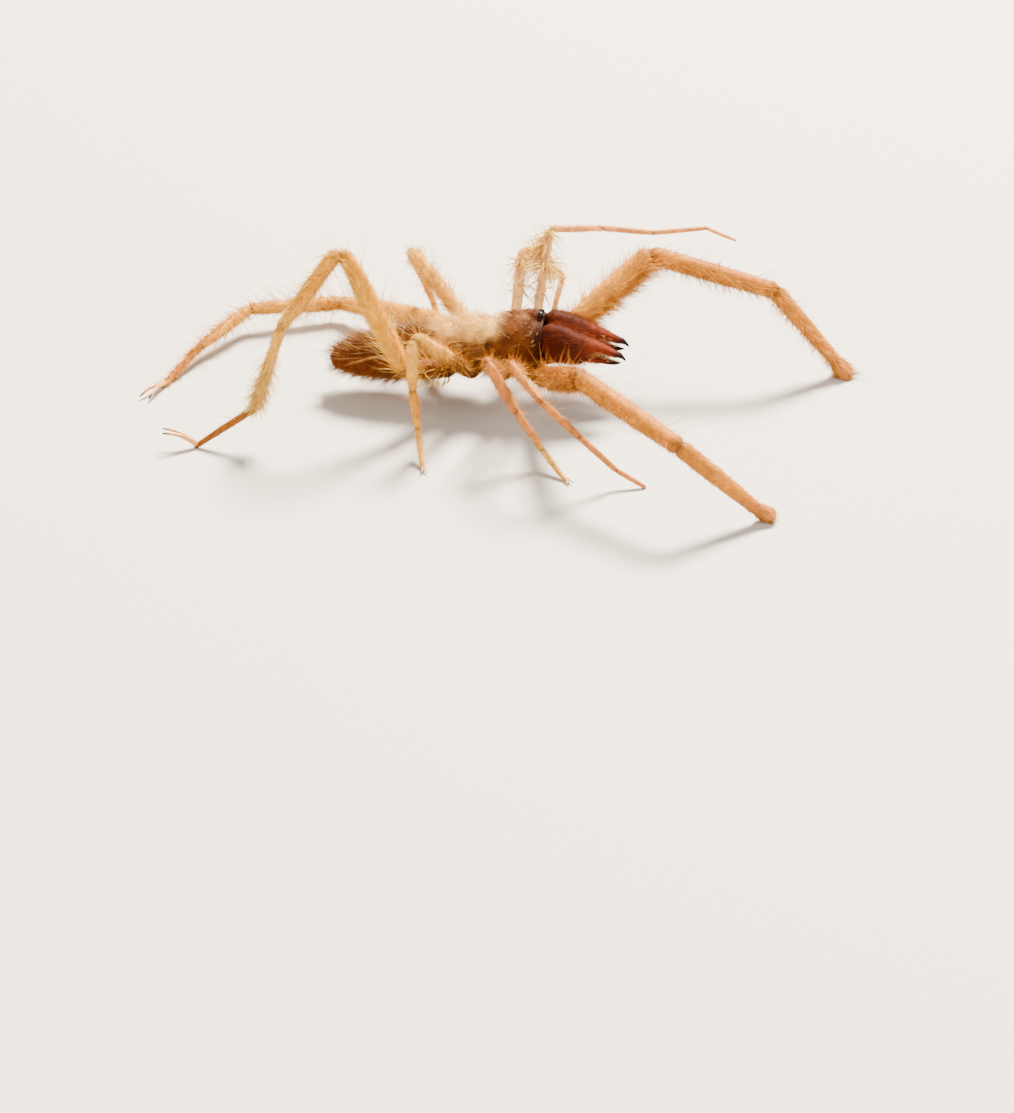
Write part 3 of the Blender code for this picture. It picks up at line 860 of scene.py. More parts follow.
@dataclass
class Limb:
    """A palp or a leg: its skin from the coxa to the foot, its claws and its coat."""

    kind: str
    side: Side
    hip: tuple[float, float, float]
    coxa_radius: float
    segments: tuple[Segment, ...]
    turns: tuple[tuple[float, float | None], ...]   # heading outwards and pitch, degrees
    tones: tuple[Tone, ...]                         # one for each segment, the coxa first
    pelt: Pelt
    spines: bool = False
    claw_length: float = 0.0
    claw_radius: float = 0.31
    claw_rise: float = 0.0
    claw_splay: float = 11.0
    painted_shade_root: float = 0.0          # mm of the first segment painted brown as shade under the body

    COXA_ROOT = (0.82, 1.6, 9.2)    # share of the hip's x, then y and z
    FOOT_HEIGHT = 0.82
    CURLS_FROM = (15.5, 20.5)       # mm along the limb where curled tufts start
    STEP = 0.34                     # mm between rings of the skin
    SIDES = 26
    CLAW_ROWS = 22
    CLAW_SIDES = 10
    ANKLE_PINCH = 0.08              # how far the skin draws in at a palp's last joint,
    HIP_PINCH = 0.12                # at the hip
    JOINT_PINCH = 0.20              # and at every other joint
    CREASES = 9                     # round a joint's membrane
    TIP_COAT = 2.5                  # how much flatter the coat lies past a palp's last joint

    @property
    def name(self) -> str:
        """Name of the limb with its side."""
        return f"{self.kind}_{self.side.name}"

    def line(self) -> CentreLine:
        """Return the limb's middle line, with the foot on the floor where it rests."""
        sign = self.side.value
        hip = Vector(self.hip)
        root = Vector((hip.x * self.COXA_ROOT[0], self.COXA_ROOT[1], self.COXA_ROOT[2]))
        corners = [Vector((p.x, sign * p.y, p.z)) for p in (root, hip)]
        for piece, (heading, pitch) in zip(self.segments, self.turns):
            turn = radians(heading)
            level = Vector((cos(turn), sign * sin(turn), 0))
            joint = corners[-1]
            if pitch is None:
                fall = piece.end * self.FOOT_HEIGHT - joint.z
                run = piece.length - piece.end
                reach = sqrt(max(0.0, run * run - fall * fall))
                way = (level * reach + Vector((0, 0, fall))) * (piece.length / run)
            else:
                rise = radians(pitch)
                way = (level * cos(rise) + Vector((0, 0, sin(rise)))) * piece.length
            corners.append(joint + way)
        coxa = Segment("coxa", 0.0, self.coxa_radius, self.coxa_radius, 0.0)
        return CentreLine(corners, [coxa, *self.segments])

    def profile(self, walk: Fields) -> tuple[Array, Array, Array]:
        """Return the skin's radius, and how much rim and membrane each place has.

        Args:
            walk: places along the middle line.

        Returns:
            Radius, rim share and membrane share at each place.
        """
        reach, radius = walk["reach"], walk["radius"] - self.pelt.depth
        rim = np.zeros_like(reach)
        web = np.zeros_like(reach)
        shape = np.ones_like(reach)
        for number, joint in enumerate(walk["joints"]):
            thick = float(np.interp(joint, reach, radius))
            offset = reach - joint
            shape += 0.05 * hump(offset + 0.75 * thick, 0.5 * thick)
            shape += 0.03 * hump(offset - 0.65 * thick, 0.4 * thick)
            ankle = self.kind == "palp" and number == len(self.segments) - 1
            pinch = self.JOINT_PINCH if number else self.HIP_PINCH
            if ankle:
                pinch = self.ANKLE_PINCH
            shape -= pinch * hump(offset, 0.26 * thick)
            rim = np.maximum(rim, hump(offset + 0.6 * thick, 0.45 * thick))
            rim = np.maximum(rim, 0.7 * hump(offset - 0.55 * thick, 0.35 * thick))
            web = np.maximum(web, hump(offset, 0.24 * thick) * (0.4 if ankle else 1.0))
        total = reach[-1]
        nose = radius[-1]
        for distance in (reach, total - reach):
            near = np.clip(1 - distance / nose, 0, 1)
            shape *= np.sqrt(np.maximum(1 - near**2, 0.02))
        return radius * shape, rim, web

    def skin(self, placement: Placement) -> Object:
        """Build the limb's skin with the values that colour it and grow its coat."""
        walk = self.line().walk(self.STEP)
        radius, rim, web = self.profile(walk)
        rows, sides = len(radius), self.SIDES
        turn = circle(sides)
        outward = (
            walk["side"][:, None] * np.cos(turn)[None, :, None]
            + walk["up"][:, None] * np.sin(turn)[None, :, None]
        )
        crease = 1 - 0.05 * web[:, None] * np.cos(turn * self.CREASES)[None, :]
        rings = walk["point"][:, None] + outward * (radius[:, None] * crease)[..., None]
        rings[..., 2] = np.maximum(rings[..., 2], 0.02)
        shape = (rows, sides)
        tones = np.array([tone.linear for tone in self.tones])
        part, share = walk["part"], walk["share"]
        ahead = np.minimum(part + 1, len(tones) - 1)
        base = blend(tones[part], tones[ahead], ramp(share, 0.55, 1.0) * 0.5)
        # Painted shade: the root of the first segment darkens to coxa brown, as if in the shadow
        # under the body.
        if self.painted_shade_root:
            near = 1 - ramp(walk["reach"] - walk["joints"][0], 0.5 * self.painted_shade_root,
                            self.painted_shade_root)
            base = blend(base, Tone.COXA_BROWN, near * 0.9)
        base = blend(base, Tone.JOINT_BROWN, rim * 0.4)
        base = blend(base, Tone.GROOVE_BROWN, web * 0.8)
        marking = np.broadcast_to(base[:, None], (*shape, 3)).copy()
        # Painted shade: each limb's underside is darkened by up to a half, as if in its own
        # shadow; the cloud patches are the skin's own uneven tone.
        under = np.clip(-outward[..., 2], 0, 1)
        patches = clouds(rings, 3.0, 5)
        marking *= (1 - 0.5 * under - 0.22 * patches)[..., None]
        fringe = np.array([0.0, *self.pelt.fringe])[part]
        silk = np.array([0.0, *self.pelt.silk])[part]
        fringe = fringe * np.where(part == self.pelt.brush, ramp(share, 0.2, 0.85), 1.0)
        for weights in (fringe, silk):
            smoothed(weights, 12, middle=1)
        above = outward[..., 2]
        hang = np.clip(0.55 - self.pelt.under * above, 0.08, 1)
        if self.pelt.curls:
            hang = hang * ramp(clouds(rings, 2.0, 31), 0.42, 0.6)
            hang = hang * ramp(walk["reach"], *self.CURLS_FROM)[:, None]
        bare = (1 - 0.85 * web) * (part > 0)
        lie = walk["ahead"]
        if self.kind == "palp":
            past = ramp(walk["reach"] - walk["joints"][-1], -1, 1.5)
            lie = lie * (1 + self.TIP_COAT * past)[:, None]
        tip = ramp(walk["reach"], walk["reach"][-1] - 1.0, walk["reach"][-1])
        values = {
            "marking": marking,
            "lie": np.broadcast_to(lie[:, None], (*shape, 3)),
            "down": np.broadcast_to((bare * (1 - 0.3 * tip) + 0.45 * (part == 0))[:, None],
                                    shape),
            "fringe": (fringe * bare)[:, None] * hang,
            "silk": (silk * bare)[:, None] * np.clip(above * 0.5 + 0.6, 0.15, 1),
            "spine": np.broadcast_to(self.spine_weight(walk)[:, None], shape)
            * np.clip(-outward[..., 2] + 0.3, 0, 1),
            "grow": self.growth(walk)[:, None] * (0.75 + 0.5 * clouds(rings, 1.2, 9)),
        }
        return Draft().add_rings(rings, values).object(f"{self.name}_skin", placement,
                                                       LIMB_SHELL)

    def spine_weight(self, walk: Fields) -> Array:
        """Return where stout spines stand: under the last two segments."""
        last = len(self.segments)
        return (walk["part"] >= last - 1) * (1.0 if self.spines else 0.0)

    def growth(self, walk: Fields) -> Array:
        """Return how long the coat is at each place, shorter towards the foot."""
        total = walk["reach"][-1]
        return 1.1 - 0.5 * ramp(walk["reach"], 0.35 * total, total)

    def claws(self, placement: Placement) -> Object:
        """Build the pair of curved claws on the foot."""
        line = self.line()
        ahead = line.dirs[-1].copy()
        ahead.z = 0
        ahead.normalize()
        end = self.segments[-1].end
        root = line.corners[-1] - line.dirs[-1] * end
        root.z = max(root.z, 1.5 * self.claw_radius)
        rise = radians(self.claw_rise)
        rows, sides = self.CLAW_ROWS, self.CLAW_SIDES
        draft = Draft()
        turn = circle(sides)
        share = np.linspace(0, 1, rows)
        for way in (-1, 1):
            level = Matrix.Rotation(way * radians(self.claw_splay), 3, "Z") @ ahead
            across = np.array(level.cross(Vector((0, 0, 1))))
            lift = 0.1 * np.sin(pi * share) + sin(rise) * share
            centre = np.array(root) + self.claw_length * (
                cos(rise) * share[:, None] * np.array(level)
                + lift[:, None] * np.array((0, 0, 1.0))
            )
            forward = unit(np.gradient(centre, axis=0))
            upward = np.cross(across, forward)
            upward = unit(upward * np.sign(upward[:, 2:3]))
            knuckle = 1 + 0.25 * hump(share - 0.80, 0.03)
            radius = self.claw_radius * (1 - 0.75 * share**1.5) * knuckle
            rings = centre[:, None] + radius[:, None, None] * (
                across * np.cos(turn)[None, :, None]
                + upward[:, None] * np.sin(turn)[None, :, None]
            )
            rings[..., 2] = np.maximum(rings[..., 2], 0.01)
            colour = blend(Tone.CLAW_AMBER, Tone.TOOTH_BLACK, ramp(share, 0.78, 0.93))
            marking = np.broadcast_to(colour[:, None], (rows, sides, 3))
            draft.add_rings(rings, {"marking": marking})
        return draft.object(f"{self.name}_claws", placement, HORN_SHELL)

    def coats(self) -> dict[str, Coat]:
        """Return the kinds of bristle that grow on the limb, by name."""
        seed = 7 * (["palp", "leg1", "leg2", "leg3", "leg4"].index(self.kind) + 1)
        seed += 3 * self.side.value
        pelt = self.pelt
        fringe = Coat("fringe", 12.0, pelt.fringe_length, 0.12, pelt.finish, lean=0.45,
                      scatter=0.35, bend=0.3, wave=0.4, spread=0.5, tuft=3.2, pieces=4,
                      seed=seed + 1)
        if pelt.brush:
            fringe = replace(fringe, lean=1.4, bend=0.0)
        if pelt.curls:
            fringe = replace(fringe, density=8.0, thickness=0.24, lean=-0.1, scatter=0.35,
                             bend=-0.6, wave=0.8, tuft=5.0, pieces=6)
        found = {
            "down": Coat("down", 10.0, pelt.down_length, 0.055, GOLD_DOWN, lean=1.6,
                         scatter=0.4, bend=0.15, tuft=1.2, seed=seed),
            "fringe": fringe,
            "silk": Coat("silk", 0.6, pelt.silk_length, 0.12, GOLD_FRINGE, lean=0.5, scatter=0.6,
                         bend=0.3, wave=0.16, spread=0.4, tuft=0.6, pieces=6, seed=seed + 2),
        }
        if self.spines:
            found["spines"] = Coat("spine", 0.35, 1.6, 0.14, DARK_SPINE, lean=0.9,
                                   scatter=0.25, bend=0.1, wave=0.0, pieces=3,
                                   seed=seed + 3)
        return found


PELTS = {
    "palp_R": Pelt((0.5, 0.15, 0.1, 0.4), (0.35, 0.2, 0.25, 0.2), 1.6, 5.0, 0.8, 0.4,
                   GOLD_FRINGE),
    "palp_L": Pelt((1.6, 0.25, 0.5, 2.4), (0.35, 0.35, 0.35, 2.0), 2.8, 6.0, 0.85, 0.9,
                   GOLD_FRINGE),
    "leg1_R": Pelt((0.2, 0.2, 0.1, 0.0, 0.0), (0.3, 0.3, 0.2, 0.1, 0.0), 1.4, 3.4, 0.6, 0.0,
                   GOLD_FRINGE),
    "leg1_L": Pelt((3.0, 0.0, 0.0, 0.0, 0.0), (0.2, 0.2, 0.1, 0.1, 0.0), 4.4, 4.0, 0.6,
                   curls=True, depth=0.26),
    "leg2_R": Pelt((0.2, 0.2, 0.1, 0.1), (0.3, 0.5, 0.3, 0.2), 1.4, 3.4, 0.7, 0.0,
                   GOLD_FRINGE),
    "leg2_L": Pelt((2.2, 2.4, 0.0, 0.0), (0.2, 0.5, 0.3, 0.0), 3.8, 5.0, 0.7,
                   curls=True, depth=0.26),
    "leg3_R": Pelt((0.2, 0.3, 0.2, 0.1), (0.5, 0.5, 0.4, 0.2), 1.6, 4.0, 0.8, 0.0,
                   GOLD_FRINGE),
    "leg3_L": Pelt((0.5, 0.3, 0.2, 0.1), (0.8, 0.5, 0.3, 0.2), 1.8, 4.5, 0.8),
    "leg4_R": Pelt((0.1, 0.1, 0.2, 3.2, 0.0), (0.2, 0.3, 0.6, 0.8, 0.4), 4.0, 5.5, 0.9,
                   brush=4),
    "leg4_L": Pelt((0.1, 0.1, 0.3, 1.2, 1.4), (0.1, 0.4, 2.0, 2.0, 1.2), 2.0, 7.0, 0.95,
                   -0.2, GOLD_FRINGE),
}


SEGMENTS = {
    # name, length, radius at the base, at the end, swell halfway
    "palp": (("femur", 27.5, 1.85, 2.15, 0.3), ("patella", 27.0, 1.95, 1.75, 0.12),
             ("tibia", 21.0, 1.75, 1.35, 0.12), ("tarsus", 4.6, 1.4, 1.7, 0.18)),
    "leg1": (("femur", 24.0, 1.1, 1.0, 0.1), ("patella", 12.0, 0.95, 0.86, 0.06),
             ("tibia", 11.0, 0.84, 0.76, 0.05), ("basitarsus", 11.0, 0.74, 0.66, 0.05),
             ("tarsus", 7.0, 0.64, 0.5, 0.05)),
    "leg2": (("femur", 20.5, 1.25, 1.15, 0.1), ("patella", 12.0, 1.15, 0.95, 0.1),
             ("tibia", 9.5, 0.84, 0.72, 0.05), ("tarsus", 8.5, 0.7, 0.54, 0.05)),
    "leg3": (("femur", 24.5, 1.5, 1.35, 0.15), ("patella", 12.0, 1.15, 0.92, 0.1),
             ("tibia", 8.5, 0.9, 0.75, 0.06), ("tarsus", 9.0, 0.75, 0.58, 0.06)),
    "leg4": (("basifemur", 11.5, 1.95, 1.9, 0.15), ("femur", 28.5, 1.9, 1.6, 0.35),
             ("patella", 20.5, 1.55, 1.2, 0.15), ("tibia", 17.0, 1.15, 0.9, 0.08),
             ("tarsus", 15.0, 0.85, 0.6, 0.06)),
}
SHARED = {
    "palp": dict(hip=(9.4, 7.7, 10.0), coxa_radius=2.15),
    "leg1": dict(hip=(5.8, 7.7, 10.0), coxa_radius=1.7),
    "leg2": dict(hip=(1.6, 7.5, 10.0), coxa_radius=1.75, spines=True, claw_length=2.4),
    "leg3": dict(hip=(-5.2, 7.3, 10.0), coxa_radius=1.9, spines=True, claw_length=2.6),
    "leg4": dict(hip=(-10.8, 6.8, 9.8), coxa_radius=2.2, claw_length=7.4, claw_radius=0.58,
                 claw_splay=9.0),
}
STANCE = {
    # heading outwards and pitch of each segment, in degrees
    "palp_R": ((65, 25), (39, -9), (-15, -43), (-25, None)),
    "palp_L": ((26, 38), (3, -15.4), (8, -50), (8, None)),
    "leg1_R": ((89, 32), (52, -14), (-20, -48), (-16, -47), (2, None)),
    "leg1_L": ((83, 54), (31, -9), (-2, -1), (2, 8), (2, -22)),
    "leg2_R": ((93, 34), (9, -59), (12, -54), (47, None)),
    "leg2_L": ((89, 48), (25, -42), (165, -76), (150, None)),
    "leg3_R": ((118, 40), (81, -88), (21, -83), (73, None)),
    "leg3_L": ((149, 39), (77, -54), (67, -63), (70, None)),
    "leg4_R": ((129, 20), (179, 66), (158, -52), (127, -63), (168, None)),
    "leg4_L": ((118, -4), (146, -10), (203, 3), (244, -7), (251, None)),
}
TONES = {
    # the segments' colours, after the brown coxa; the right side's darker browns are painted
    # shade
    "palp_R": "BASE_BROWN ORANGE_TAN ORANGE_TAN PINK_TAN",
    "palp_L": "PALE_STRAW ORANGE_TAN ORANGE_TAN PINK_TAN",
    "leg1_R": "BASE_BROWN PINK_TAN PINK_TAN PINK_TAN PINK_TAN",
    # the cream and blush of the left legs I and II are partly their own pale colour and partly
    # painted glow of the light behind them
    "leg1_L": "CREAM BLUSH BLUSH BLUSH BLUSH",
    "leg2_R": "BASE_BROWN PINK_TAN PINK_TAN PALE_STRAW",
    "leg2_L": "CREAM BLUSH BLUSH BLUSH BLUSH",
    "leg3_R": "PALE_STRAW PALE_STRAW STRAW PALE_STRAW",
    "leg3_L": "PALE_STRAW PALE_STRAW STRAW PALE_STRAW",
    "leg4_R": "COXA_BROWN GOLD STRAW PALE_STRAW BASE_BROWN",
    "leg4_L": "STRAW GOLD STRAW PALE_STRAW ORANGE_TAN",
}
OWN = {"leg4_R": dict(claw_rise=25.0), "leg3_R": dict(painted_shade_root=14.0)}


def limbs() -> list[Limb]:
    """Return the palps and the legs of both sides, in the animal's stance."""
    found = []
    for name, turns in STANCE.items():
        kind, side = name.split("_")
        found.append(Limb(
            kind=kind, side=Side[side], turns=turns, pelt=PELTS[name],
            segments=tuple(Segment(*row) for row in SEGMENTS[kind]),
            tones=(Tone.COXA_BROWN, *(Tone[tone] for tone in TONES[name].split())),
            **SHARED[kind], **OWN.get(name, {}),
        ))
    return found


# ---- trunk ---------------------------------------------------------------------------
@dataclass
class Trunk:
    """Abdomen, thorax and head shield as one skin, from the tail to the pincers."""

    prosoma: Stations = (
        (-12.6, 4.1, 16.3, 8.6), (-10.5, 5.0, 17.2, 7.9), (-6.0, 5.7, 17.9, 7.4),
        (-1.6, 6.1, 18.5, 7.2), (2.0, 6.7, 19.5, 7.2), (6.0, 6.9, 20.1, 7.6),
        (9.4, 6.1, 19.6, 8.6),
    )
    abdomen: Stations = (
        (-35.9, 1.4, 8.9, 6.5), (-34.5, 2.9, 10.1, 5.3), (-30.0, 4.4, 12.1, 4.3),
        (-24.0, 5.2, 14.0, 3.8), (-18.5, 5.3, 15.5, 4.3), (-14.5, 4.7, 16.1, 6.2),
        (-12.9, 3.9, 15.9, 8.2),
    )
    waist_x: float = -12.75
    fullness: float = 0.88
    abdomen_segments: int = 10
    head_rear_x: float = -1.4
    head_rear_curve: float = 0.035
    head_rim_z: float = 12.6
    plate_grooves: tuple[float, ...] = (-9.4, -5.4)
    eye_tubercle: tuple[float, float, float] = (7.9, 1.7, 1.8)  # x, half length, half width
    tubercle_height: float = 1.0
    step: float = 0.22
    sides: int = 116

    # relief in mm: grooves go in, the others stand out
    RING_SWELL = 0.12
    RING_GROOVE = 0.30
    FLANK_FOLD = 0.22
    FLANK_PLEAT = 0.05
    FLANK_RIM = 0.10
    WAIST_GROOVE = 0.30
    PLATE_SWELL = 0.12
    PLATE_GROOVE = 0.28
    SHIELD_STEP = 0.22
    SHIELD_GROOVE = 0.2
    MIDLINE_GROOVE = 0.16
    LOBE_GROOVE = 0.24
    SHIELD_RIPPLE = 0.10
    TAIL_LENGTH = 1.3               # mm over which the tail rounds off

    # the rings of the hollow behind the pincers: share of the face's size, mm back
    HOLLOW = ((0.97, -0.12), (0.88, 0.0), (0.72, 0.35), (0.5, 0.8), (0.25, 1.0))

    def outline(self, xs: Array) -> Array:
        """Return half width, top and underside at each x, inside the coat."""
        table = smoothed(np.array([
            along(self.abdomen if x < self.waist_x else self.prosoma, float(x)) for x in xs
        ]), 6)
        depth = 0.38 - 0.22 * ramp(xs, self.head_rear_x - 0.5, self.head_rear_x + 0.5)
        table -= depth[:, None] * np.array((1, 1, -1))
        return table

    def abdomen_place(self, x: Array) -> tuple[Array, Array, Array]:
        """Return the place in rings, the share within a ring and that from its edge."""
        rear = self.abdomen[0][0]
        place = (x - rear) / (self.waist_x - rear) * self.abdomen_segments
        within = place - np.floor(place)
        return place, within, np.minimum(within, 1 - within)

    def inside_shield(self, x: Array, y: Array, z: Array) -> Array:
        """Return how far each place lies inside the head shield's rim."""
        rear_edge = x - self.head_rear_x + self.head_rear_curve * y * y
        return np.minimum(rear_edge, z - self.head_rim_z)

    def relief(self, x: Array, y: Array, z: Array, level: Array) -> Array:
        """Return how far the skin stands out from the plain outline.

        Args:
            x: place along the body.
            y: place across it.
            z: height.
            level: sine of the place's angle round the section, 1 at the top.

        Returns:
            Millimetres outwards at each place.
        """
        place, within, edge = self.abdomen_place(x)
        rear = self.abdomen[0][0]
        belly = (x < self.waist_x) * ramp(x, rear, rear + 1.5)
        flank = hump(level - 0.05, 0.22)
        out = belly * (self.RING_SWELL * np.exp(-within / 0.3)
                       - self.RING_GROOVE * hump(edge, 0.10))
        out += belly * (self.FLANK_PLEAT * np.sin(2 * pi * place * 4)
                        - self.FLANK_FOLD) * flank
        out += belly * self.FLANK_RIM * hump(level - 0.45, 0.12)
        out -= self.WAIST_GROOVE * hump(x - self.waist_x, 0.35)
        back = ramp(level, 0.05, 0.45) * (x > self.waist_x)
        for groove in self.plate_grooves:
            curved = x - groove - 0.05 * y * y * (1 if groove > -7 else -0.3)
            out += back * (self.PLATE_SWELL * hump(curved - 0.5, 0.4)
                           - self.PLATE_GROOVE * hump(curved, 0.22))
        inside = self.inside_shield(x, y, z)
        out += (self.SHIELD_STEP * ramp(inside, -0.15, 0.2)
                - self.SHIELD_GROOVE * hump(inside + 0.3, 0.25))
        shield = ramp(inside, 0.3, 1.2)
        out -= shield * self.MIDLINE_GROOVE * hump(y, 0.3) * ramp(-x, -5.6, -4.0)
        lobe = (z - 16.2) + 0.42 * (x - 5.2)
        out -= shield * self.LOBE_GROOVE * hump(lobe, 0.3) * ramp(x, 2.6, 4.4)
        ripple = np.sin(x * 1.9 + np.abs(y) * 1.1) * hump(level - 0.8, 0.5)
        out += shield * self.SHIELD_RIPPLE * ripple
        return out

    def skin(self, placement: Placement) -> Object:
        """Build the trunk's skin with the values that colour it and grow its coat."""
        rear, front = self.abdomen[0][0] + 0.35, self.prosoma[-1][0] - 0.1
        xs = np.arange(rear, front, self.step)
        table = self.outline(xs)
        tail = np.clip(1 - (xs - rear) / self.TAIL_LENGTH, 0, 1)
        tail_shape = np.sqrt(np.maximum(1 - tail**2, 0.03))
        middle = (table[:, 1] + table[:, 2]) / 2
        half = (table[:, 1] - table[:, 2]) / 2
        turn = 2 * pi * (np.arange(self.sides) + 0.5) / self.sides
        across = np.sign(np.cos(turn)) * np.abs(np.cos(turn)) ** self.fullness
        upward = np.sign(np.sin(turn)) * np.abs(np.sin(turn)) ** self.fullness
        x = np.repeat(xs[:, None], self.sides, axis=1)
        y = (table[:, 0] * tail_shape)[:, None] * across
        z = middle[:, None] + (half * tail_shape)[:, None] * upward
        level = np.broadcast_to(np.sin(turn), x.shape)
        outward = unit(np.stack((
            np.zeros_like(x), np.broadcast_to(np.cos(turn), x.shape) / table[:, :1],
            level / half[:, None],
        ), axis=-1))
        out = self.relief(x, y, z, level)
        rings = np.stack((x, y, z), axis=-1) + outward * out[..., None]
        centre, long, wide = self.eye_tubercle
        mound = 1 - ((x - centre) / long) ** 2 - (y / wide) ** 2
        mound = np.clip(mound, 0, 1) ** 0.6 * (level > 0)
        rings[..., 2] += self.tubercle_height * mound
        face = rings[-1]
        hollow = []
        for size, back in self.HOLLOW:
            ring = face.copy()
            ring[:, 1] *= size
            ring[:, 2] = middle[-1] + (face[:, 2] - middle[-1]) * size
            ring[:, 0] -= back
            hollow.append(ring)
        rings = np.concatenate((rings, np.array(hollow)))
        extra = len(hollow)
        values = self.values(rings, np.concatenate((level, level[-extra:])), extra)
        return Draft().add_rings(rings, values).object("trunk_skin", placement, TRUNK_SHELL)

    def values(self, rings: Array, level: Array, hidden: int) -> Fields:
        """Return the values that colour the skin and grow its coat.

        Args:
            rings: the skin's vertices.
            level: sine of each vertex's angle round the section.
            hidden: how many last rings line the hollow behind the pincers.

        Returns:
            One field for each attribute.
        """
        x, y, z = rings[..., 0], rings[..., 1], rings[..., 2]
        rows, sides = x.shape
        belly = 1 - ramp(x + 1.6 * (clouds(rings, 2.2, 25) - 0.5), self.waist_x - 2.8,
                         self.waist_x + 1.6)
        head = ramp(self.inside_shield(x, y, z), -0.1, 0.2)
        edge = self.abdomen_place(x)[2]
        tergite = ramp(level, 0.25, 0.5) * (1 - hump(edge, 0.16))
        abdomen = blend(Tone.ABDOMEN_PALE, Tone.ABDOMEN, ramp(level, -0.9, -0.3))
        abdomen = blend(abdomen, Tone.ABDOMEN_DARK, tergite * 0.75)
        # The thorax's flanks and underside turn brown below the pale top: partly their own
        # darker colour and partly painted shade.
        thorax = blend(Tone.THORAX, Tone.ABDOMEN,
                       0.85 * ramp(-level, -0.74, -0.36) + 0.25 * hump(x + 7.4, 1.2))
        shield = blend(Tone.HEAD_OLIVE, Tone.HEAD_DARK,
                       ramp(x, 3.5, 8.5) * 0.8 + 0.35 * hump(y, 0.5))
        shield = blend(shield, Tone.THORAX,
                       0.6 * (1 - ramp(x, -1.2, 2.2)) * ramp(level, 0.4, 0.8))
        mound = hump(x - self.eye_tubercle[0], 1.2) * hump(y, 1.2) * (level > 0.5)
        # Painted shade: the shield's front face darkens to shell dark, where shade falls between
        # the head and the pincers.
        shield = blend(shield, Tone.SHELL_DARK, ramp(x, 7.2, 8.6))
        shield = blend(shield, Tone.TOOTH_BLACK, mound * 0.55)
        marking = blend(blend(thorax, abdomen, belly), shield, head)
        marking = marking * (1.15 - 0.45 * clouds(rings, 1.6, 24))[..., None]
        shown = np.ones((rows, sides))
        shown[-hidden - 2:] = 0
        pole = ramp(x, self.abdomen[0][0] + 0.2, self.abdomen[0][0] + 2.0)
        lie = np.zeros((rows, sides, 3))
        lie[..., 0] = -1 + 0.5 * head
        lie[..., 1] = 0.25 * np.sign(y) * (1 - head) + 0.9 * (clouds(rings, 1.3, 22) - 0.5)
        lie[..., 2] = 0.7 * (clouds(rings, 1.3, 23) - 0.5)
        bare = 1 - 0.95 * mound
        return {
            "marking": marking,
            "lie": unit(lie),
            "down": shown * pole * bare * (1 - 0.35 * head),
            "spine": hump(x - self.eye_tubercle[0], 0.9) * hump(y, 0.7) * (level > 0.5),
            "silk": shown * pole * bare * (1 - 0.7 * head) * (1 - 0.45 * belly)
            * (0.12 + 0.88 * ramp(level, 0.1, 0.6)),
            "grow": (0.75 + 0.35 * belly - 0.40 * head + 0.2 * (1 - belly) * (1 - head))
            * (0.55 + 0.9 * clouds(rings, 1.1, 21)),
        }

    def coats(self) -> dict[str, Coat]:
        """Return the kinds of bristle that grow on the trunk, by name."""
        return {
            "pile": Coat("down", 11.0, 1.9, 0.065, BROWN_PILE, lean=1.1, scatter=0.4,
                         bend=0.3, tuft=2.2, seed=101),
            "silk": Coat("silk", 2.4, 3.0, 0.07, SILK, lean=1.0, scatter=0.45,
                         bend=0.3, wave=0.15, spread=0.5, tuft=1.6, pieces=4, seed=103),
            "eye_bristles": Coat("spine", 3.0, 1.7, 0.09, DARK_SPINE, lean=0.0, scatter=0.4,
                                 bend=0.1, wave=0.0, pieces=3, seed=107),
        }


